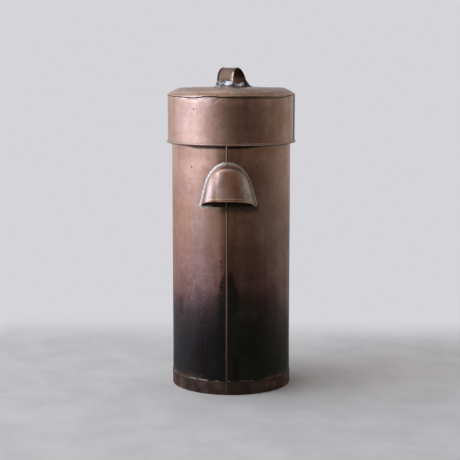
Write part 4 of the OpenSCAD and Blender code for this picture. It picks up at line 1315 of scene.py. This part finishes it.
def line_solder(name):
    """What is left of the solder on the foot band: dark and stained brown."""
    p = Paint(name)
    lumps = p.noise(260, 4, 0.6, warp=0.5)
    p.colour = p.blend(lumps, 0.3, 0.75, (0.060, 0.052, 0.046), (0.165, 0.148, 0.132))
    p.cover((0.27, 0.185, 0.14), p.ramp(p.noise(80, 4, 0.6), 0.42, 0.70, 0.0, 0.5))
    return solder_skin(p, lumps, 0.30, 0.48)


def hood_solder(name):
    """Solder round a grip: bright on the left, dull brown towards the right."""
    p = Paint(name)
    lumps = p.noise(260, 4, 0.6, warp=0.5)
    p.colour = p.blend(lumps, 0.3, 0.75, (0.30, 0.275, 0.25), (0.54, 0.52, 0.50))
    brown = p.blend(lumps, 0.35, 0.65, (0.40, 0.325, 0.28), (0.64, 0.545, 0.49))
    rightward = (p.x + 0.022) * 32.0 + p.wobble(2.2, 60, 4, 0.7)
    p.cover(brown, p.ramp(rightward, 0.0, 1.0, 0.15, 0.85))
    return solder_skin(p, lumps, 0.30, 0.48)


def handle_solder(name):
    """Solder round the handle's feet: grey, streaked with dross, and bright on one fresh blob."""
    p = Paint(name)
    lumps, clots = p.noise(230, 4, 0.65, warp=0.8), p.noise(120, 4, 0.6, warp=0.6)
    p.colour = p.blend(lumps, 0.38, 0.66, (0.13, 0.12, 0.115), (0.46, 0.465, 0.475))
    blob = p.distance((*BLOB_XY, lid_flat_z + BLOB_RISE)) + (clots - 0.5) * 0.006
    fresh = p.ramp(blob, 0.0065, 0.0100, 0.85, 0.0)
    p.cover(p.blend(lumps, 0.3, 0.6, (0.25, 0.26, 0.275), (0.46, 0.475, 0.50)), fresh)
    p.cover((0.060, 0.045, 0.038), p.ramp(clots, 0.52, 0.62, 0.0, 0.85), 1.0 - fresh * 0.8)
    p.cover((0.17, 0.14, 0.12), p.ramp(p.z, lid_flat_z + 0.8 * MM, lid_flat_z + 3.0 * MM, 0.8, 0.0))
    return solder_skin(p, lumps, 0.28, 0.46)


def tinned(name):
    """Hot-tinned copper: grey wiped tin with copper showing through where it has worn."""
    p = Paint(name)
    wiped = p.noise((40, 40, 12), 4, 0.6)
    fine = p.noise(240, 4, 0.6)
    p.colour = p.blend(wiped, 0.35, 0.7, (0.56, 0.54, 0.50), (0.42, 0.39, 0.35))
    p.cover((0.50, 0.32, 0.24), p.ramp(p.noise(30, 5, 0.7), 0.62, 0.72, 0.0, 0.7))
    p.bumps(0.4, (fine, 0.0002))
    return p.finish(p.ramp(fine, 0.3, 0.8, 0.32, 0.48))


def iron(name):
    p = Paint(name)
    fine = p.noise(300, 4, 0.6)
    p.colour = p.blend(p.noise(70, 4, 0.6), 0.45, 0.7, (0.26, 0.25, 0.24), (0.20, 0.12, 0.08))
    p.bumps(0.5, (fine, 0.0002))
    return p.finish(p.ramp(fine, 0.3, 0.8, 0.36, 0.55), 0.9)


# ---- Dress ----

NEAR_COAT = [
    (0, 7), (60, 7), (90, 9), (130, 12.5), (180, 13), (230, 12.5), (262, 13.5), (275, 11), (320, 8), (360, 7),
]
NEAR_REACH = [(0, 5), (60, 6), (90, 11), (120, 5), (180, 3.5), (240, 5), (270, 6), (310, 5), (360, 5)]
NEAR_LUMPS = [
    (206, 5, 4.2, 2.6), (222, 8, 3.4, 2.0), (258, 10, 3.0, 1.2), (160, 5, 3.5, 0.7), (130, 9, 3, 0.6),
]
FAR_COAT = [(0, 10), (90, 9), (180, 7), (250, 11), (272, 14), (290, 13), (330, 10), (360, 10)]
FAR_REACH = [(0, 5), (90, 7), (180, 6), (250, 8), (275, 15), (300, 7), (360, 5)]
FAR_LUMPS = [(265, 7, 4, 1.4), (200, 3, 4, 1.6)]


def dress(piece, body, slot, paints, *replaced):
    """Paints a piece, sets it on its body and hides the CAD nodes it stands for."""
    for paint in paints:
        piece.data.materials.append(paint)
    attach(piece, body)
    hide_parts(*replaced)


def repaint(paint, *names):
    """Gives CAD nodes a finish."""
    for name in names:
        nodes[name].data.materials.clear()
        nodes[name].data.materials.append(paint)


def dress_drum():
    copper, seam, grip = wall_copper("wall_copper"), seam_copper("seam_copper"), grip_copper("grip_copper")
    solder, line = hood_solder("grip_solder"), line_solder("line_solder")
    # the first paint is painted shade in the solder's crevice, the second the flux stain
    crevice = [grime_and_shade("grime_and_shade"), grime_and_shade("flux_stain", (0.10, 0.066, 0.052), (0.21, 0.145, 0.115))]
    wall = tin_inside(lathe("drum_wall", wall_outline(), 480, wall_shift))
    dress(wall, "drum", "drum_copper", [copper, tinned("tinned_drum")], "body_wall")
    dress(wall_seam(), "drum", "seam_copper", [seam], "body_seam")
    dress(base_solder(), "drum", "solder", [line], "base_solder_line")
    dress(hood("grip_front", 51), "drum", "grip_copper", [grip], "front_grip")
    front = solder_round_hood("solder_front", 52)
    dress(front, "drum", "solder", [solder, *crevice], "front_grip_solder")
    dress(to_rear(hood("grip_rear", 61)), "drum", "grip_copper", [grip], "rear_grip")
    rear = to_rear(solder_round_hood("solder_rear", 62))
    dress(rear, "drum", "solder", [solder, *crevice], "rear_grip_solder")
    repaint(tinned("tinned_bottom"), "bottom_plate")
    repaint(solder, "bottom_solder")


def dress_lid():
    solder, tin = handle_solder("handle_solder"), tinned("tinned_lid")
    plate = tin_inside(lathe("lid_plate", lid_outline(), 480, lid_shift))
    dress(plate, "lid", "lid_copper", [lid_copper("lid_copper"), tin], "lid_top")
    skirt = tin_inside(lathe("skirt", skirt_outline(), 720, skirt_shift))
    dress(skirt, "lid", "lid_copper", [skirt_copper("skirt_copper"), tin], "lid_skirt")
    dress(skirt_seam(), "lid", "seam_copper", [skirt_seam_copper("skirt_seam_copper")], "lid_skirt_seam")
    # a dark ring under the lid's turned edge, standing in for its shadow
    dress(edge_shadow_ring(), "lid", "lid_copper", [grime_and_shade("edge_shadow_paint")])
    dress(handle(), "lid", "handle_copper", [handle_copper("handle_copper")], "lid_handle")
    near = foot_solder(-1, 81, NEAR_COAT, NEAR_REACH, NEAR_LUMPS)
    dress(near, "lid", "solder", [solder], "lid_handle_solder")
    dress(foot_solder(1, 91, FAR_COAT, FAR_REACH, FAR_LUMPS), "lid", "solder", [solder])
    repaint(solder, "lid_edge_solder")


def dress_inside():
    tin, wire, rivets = tinned("tinned_copper"), iron("iron_wire"), grip_copper("rivet_copper")
    repaint(tin, "grate_plate", "grate_legs", "basket_wall", "basket_bottom", "basket_ears")
    repaint(rivets, "grate_rivets", "basket_ear_rivets")
    repaint(wire, "body_rim_wire", "lid_rim_wire", "basket_rim_wire", "basket_bail")


# ---- Studio ----

PALE = (0.665, 0.66, 0.69)
FLOOR_GREY = (0.60, 0.585, 0.57)
FLOOR_R = 0.86

# The room round the drum: light by azimuth, in degrees from the camera, left negative
ABOVE = [
    (-180, (0.6, 0.6, 0.62)), (-110, (1.7, 1.75, 1.9)), (-72, (1.75, 1.8, 1.95)),
    (-52, (0.8, 0.8, 0.84)), (-35, (0.42, 0.41, 0.41)), (0, (0.34, 0.32, 0.31)),
    (80, (0.3, 0.28, 0.27)), (180, (0.6, 0.6, 0.62)),
]
ROOM = [
    (-180, (0.6, 0.6, 0.62)), (-142, (1.1, 0.99, 0.93)), (-112, (1.35, 1.4, 1.55)),
    (-84, (1.95, 2.15, 2.6)), (-62, (1.95, 2.13, 2.55)), (-48, (1.2, 1.25, 1.4)),
    (-36, (0.66, 0.62, 0.62)), (-20, (0.33, 0.275, 0.235)), (-4, (0.19, 0.147, 0.11)),
    (10, (0.106, 0.077, 0.055)), (24, (0.08, 0.058, 0.042)), (50, (0.092, 0.072, 0.056)),
    (70, (0.172, 0.144, 0.121)), (96, (0.35, 0.32, 0.29)), (120, (0.44, 0.42, 0.4)),
    (180, (0.6, 0.6, 0.62)),
]
BELOW = [
    (-180, (0.3, 0.29, 0.28)), (-110, (0.58, 0.56, 0.55)), (-70, (0.72, 0.72, 0.74)),
    (-40, (0.35, 0.33, 0.31)), (-10, (0.085, 0.066, 0.05)), (30, (0.05, 0.04, 0.03)),
    (70, (0.12, 0.1, 0.088)), (110, (0.3, 0.27, 0.25)), (180, (0.3, 0.29, 0.28)),
]


def seen_pale(p, behind):
    """1 for camera rays, and for glossy and transmission rays that go to what is behind the drum."""
    path = p.add("ShaderNodeLightPath")
    bounced = p.math("MAXIMUM", path.outputs["Is Glossy Ray"], path.outputs["Is Transmission Ray"])
    return p.math("MAXIMUM", path.outputs["Is Camera Ray"], bounced * behind)


def floor_paint():
    """Pale grey, fading behind the drum and far off into the background's colour."""
    p = Paint("floor_paint")
    patches = p.noise(9, 6, 0.6, warp=0.4)
    darker, lighter = (tuple(c * k for c in FLOOR_GREY) for k in (0.93, 1.05))
    p.colour = p.blend(patches, 0.3, 0.7, darker, lighter)
    p.bumps(0.3, (p.noise(220, 4, 0.6), 0.0006))
    p.finish(0.85, 0.0)
    glow = p.add("ShaderNodeEmission")
    p.put(glow.inputs["Color"], PALE)
    fade = p.math("MAXIMUM", p.ramp(p.y, 0.30, 0.62), p.ramp(p.distance((0, 0, 0)), 0.62, 0.84))
    blend = p.add("ShaderNodeMixShader")
    p.put(blend.inputs[0], seen_pale(p, p.ramp(p.y, 0.0, 0.3)) * fade)
    p.put(blend.inputs[1], p.shader.outputs[0])
    p.put(blend.inputs[2], glow.outputs[0])
    p.put(p.tree.nodes["Material Output"].inputs["Surface"], blend.outputs[0])
    return p.material


def studio_floor():
    """A round floor, as rings of quads round a hub."""
    steps, rings = 96, 16
    radii = np.linspace(0, FLOOR_R, rings)
    turn = np.linspace(0, 2 * PI, steps, endpoint=False)
    points = [(0, 0, 0)] + [(r * sin(a), r * cos(a), 0) for r in radii[1:] for a in turn]
    faces = [(0, 1 + (j + 1) % steps, 1 + j) for j in range(steps)]
    faces += [[1 + i for i in face] for face in grid_faces(rings - 1, steps, close_columns=True)]
    floor = make("studio_floor", points, faces)
    floor.data.materials.append(floor_paint())


def studio_sky():
    """A pale background, and a soft room: a wide window on the left, dim in front, pale behind."""
    world = bpy.data.worlds.new("studio")
    world.use_nodes = True
    bpy.context.scene.world = world
    p = Nodes(world.node_tree, "Generated")
    azimuth = p.turn * (180 / PI) - degrees(CAMERA_TURN)
    p.colour = p.tints(azimuth, -180, 180, ROOM)
    p.cover(p.tints(azimuth, -180, 180, ABOVE), p.ramp(p.z, 0.15, 0.62))
    p.cover(p.tints(azimuth, -180, 180, BELOW), p.fall(p.z, -0.42, -0.04))
    p.cover(PALE, seen_pale(p, p.ramp(p.y, 0.72, 0.98)))
    p.put(p.tree.nodes["Background"].inputs["Color"], p.colour)


def aim(thing, place, target):
    """Puts a lamp or camera in the scene, at a place and facing a target."""
    thing.location = place
    thing.rotation_euler = (Vector(target) - Vector(place)).to_track_quat("-Z", "Y").to_euler()
    bpy.context.scene.collection.objects.link(thing)


def window_light():
    """The soft light of the window on the left."""
    data = bpy.data.lights.new("window", "AREA")
    data.shape = "SQUARE"
    data.size = 2.2
    data.energy = 18
    data.color = (0.88, 0.95, 1.05)
    lamp = bpy.data.objects.new("window", data)
    lamp.visible_camera = False
    aim(lamp, (-1.9, -1.0, 1.8), (0, 0, 0.4))


def camera():
    data = bpy.data.cameras.new("camera")
    data.lens = LENS
    data.sensor_width = 36
    data.clip_start, data.clip_end = 0.1, 50
    eye = bpy.data.objects.new("camera", data)
    right = Vector((cos(CAMERA_TURN), sin(CAMERA_TURN), 0))
    away = Vector((sin(CAMERA_TURN), -cos(CAMERA_TURN), 0))
    place = away * CAMERA_DISTANCE + Vector((0, 0, CAMERA_HEIGHT))
    aim(eye, place, Vector((0, 0, AIM_HEIGHT)) - right * AIM_LEFT)
    bpy.context.scene.camera = eye


dress_drum()
dress_lid()
dress_inside()
studio_floor()
studio_sky()
window_light()
camera()

bpy.context.scene.view_settings.view_transform = "Standard"
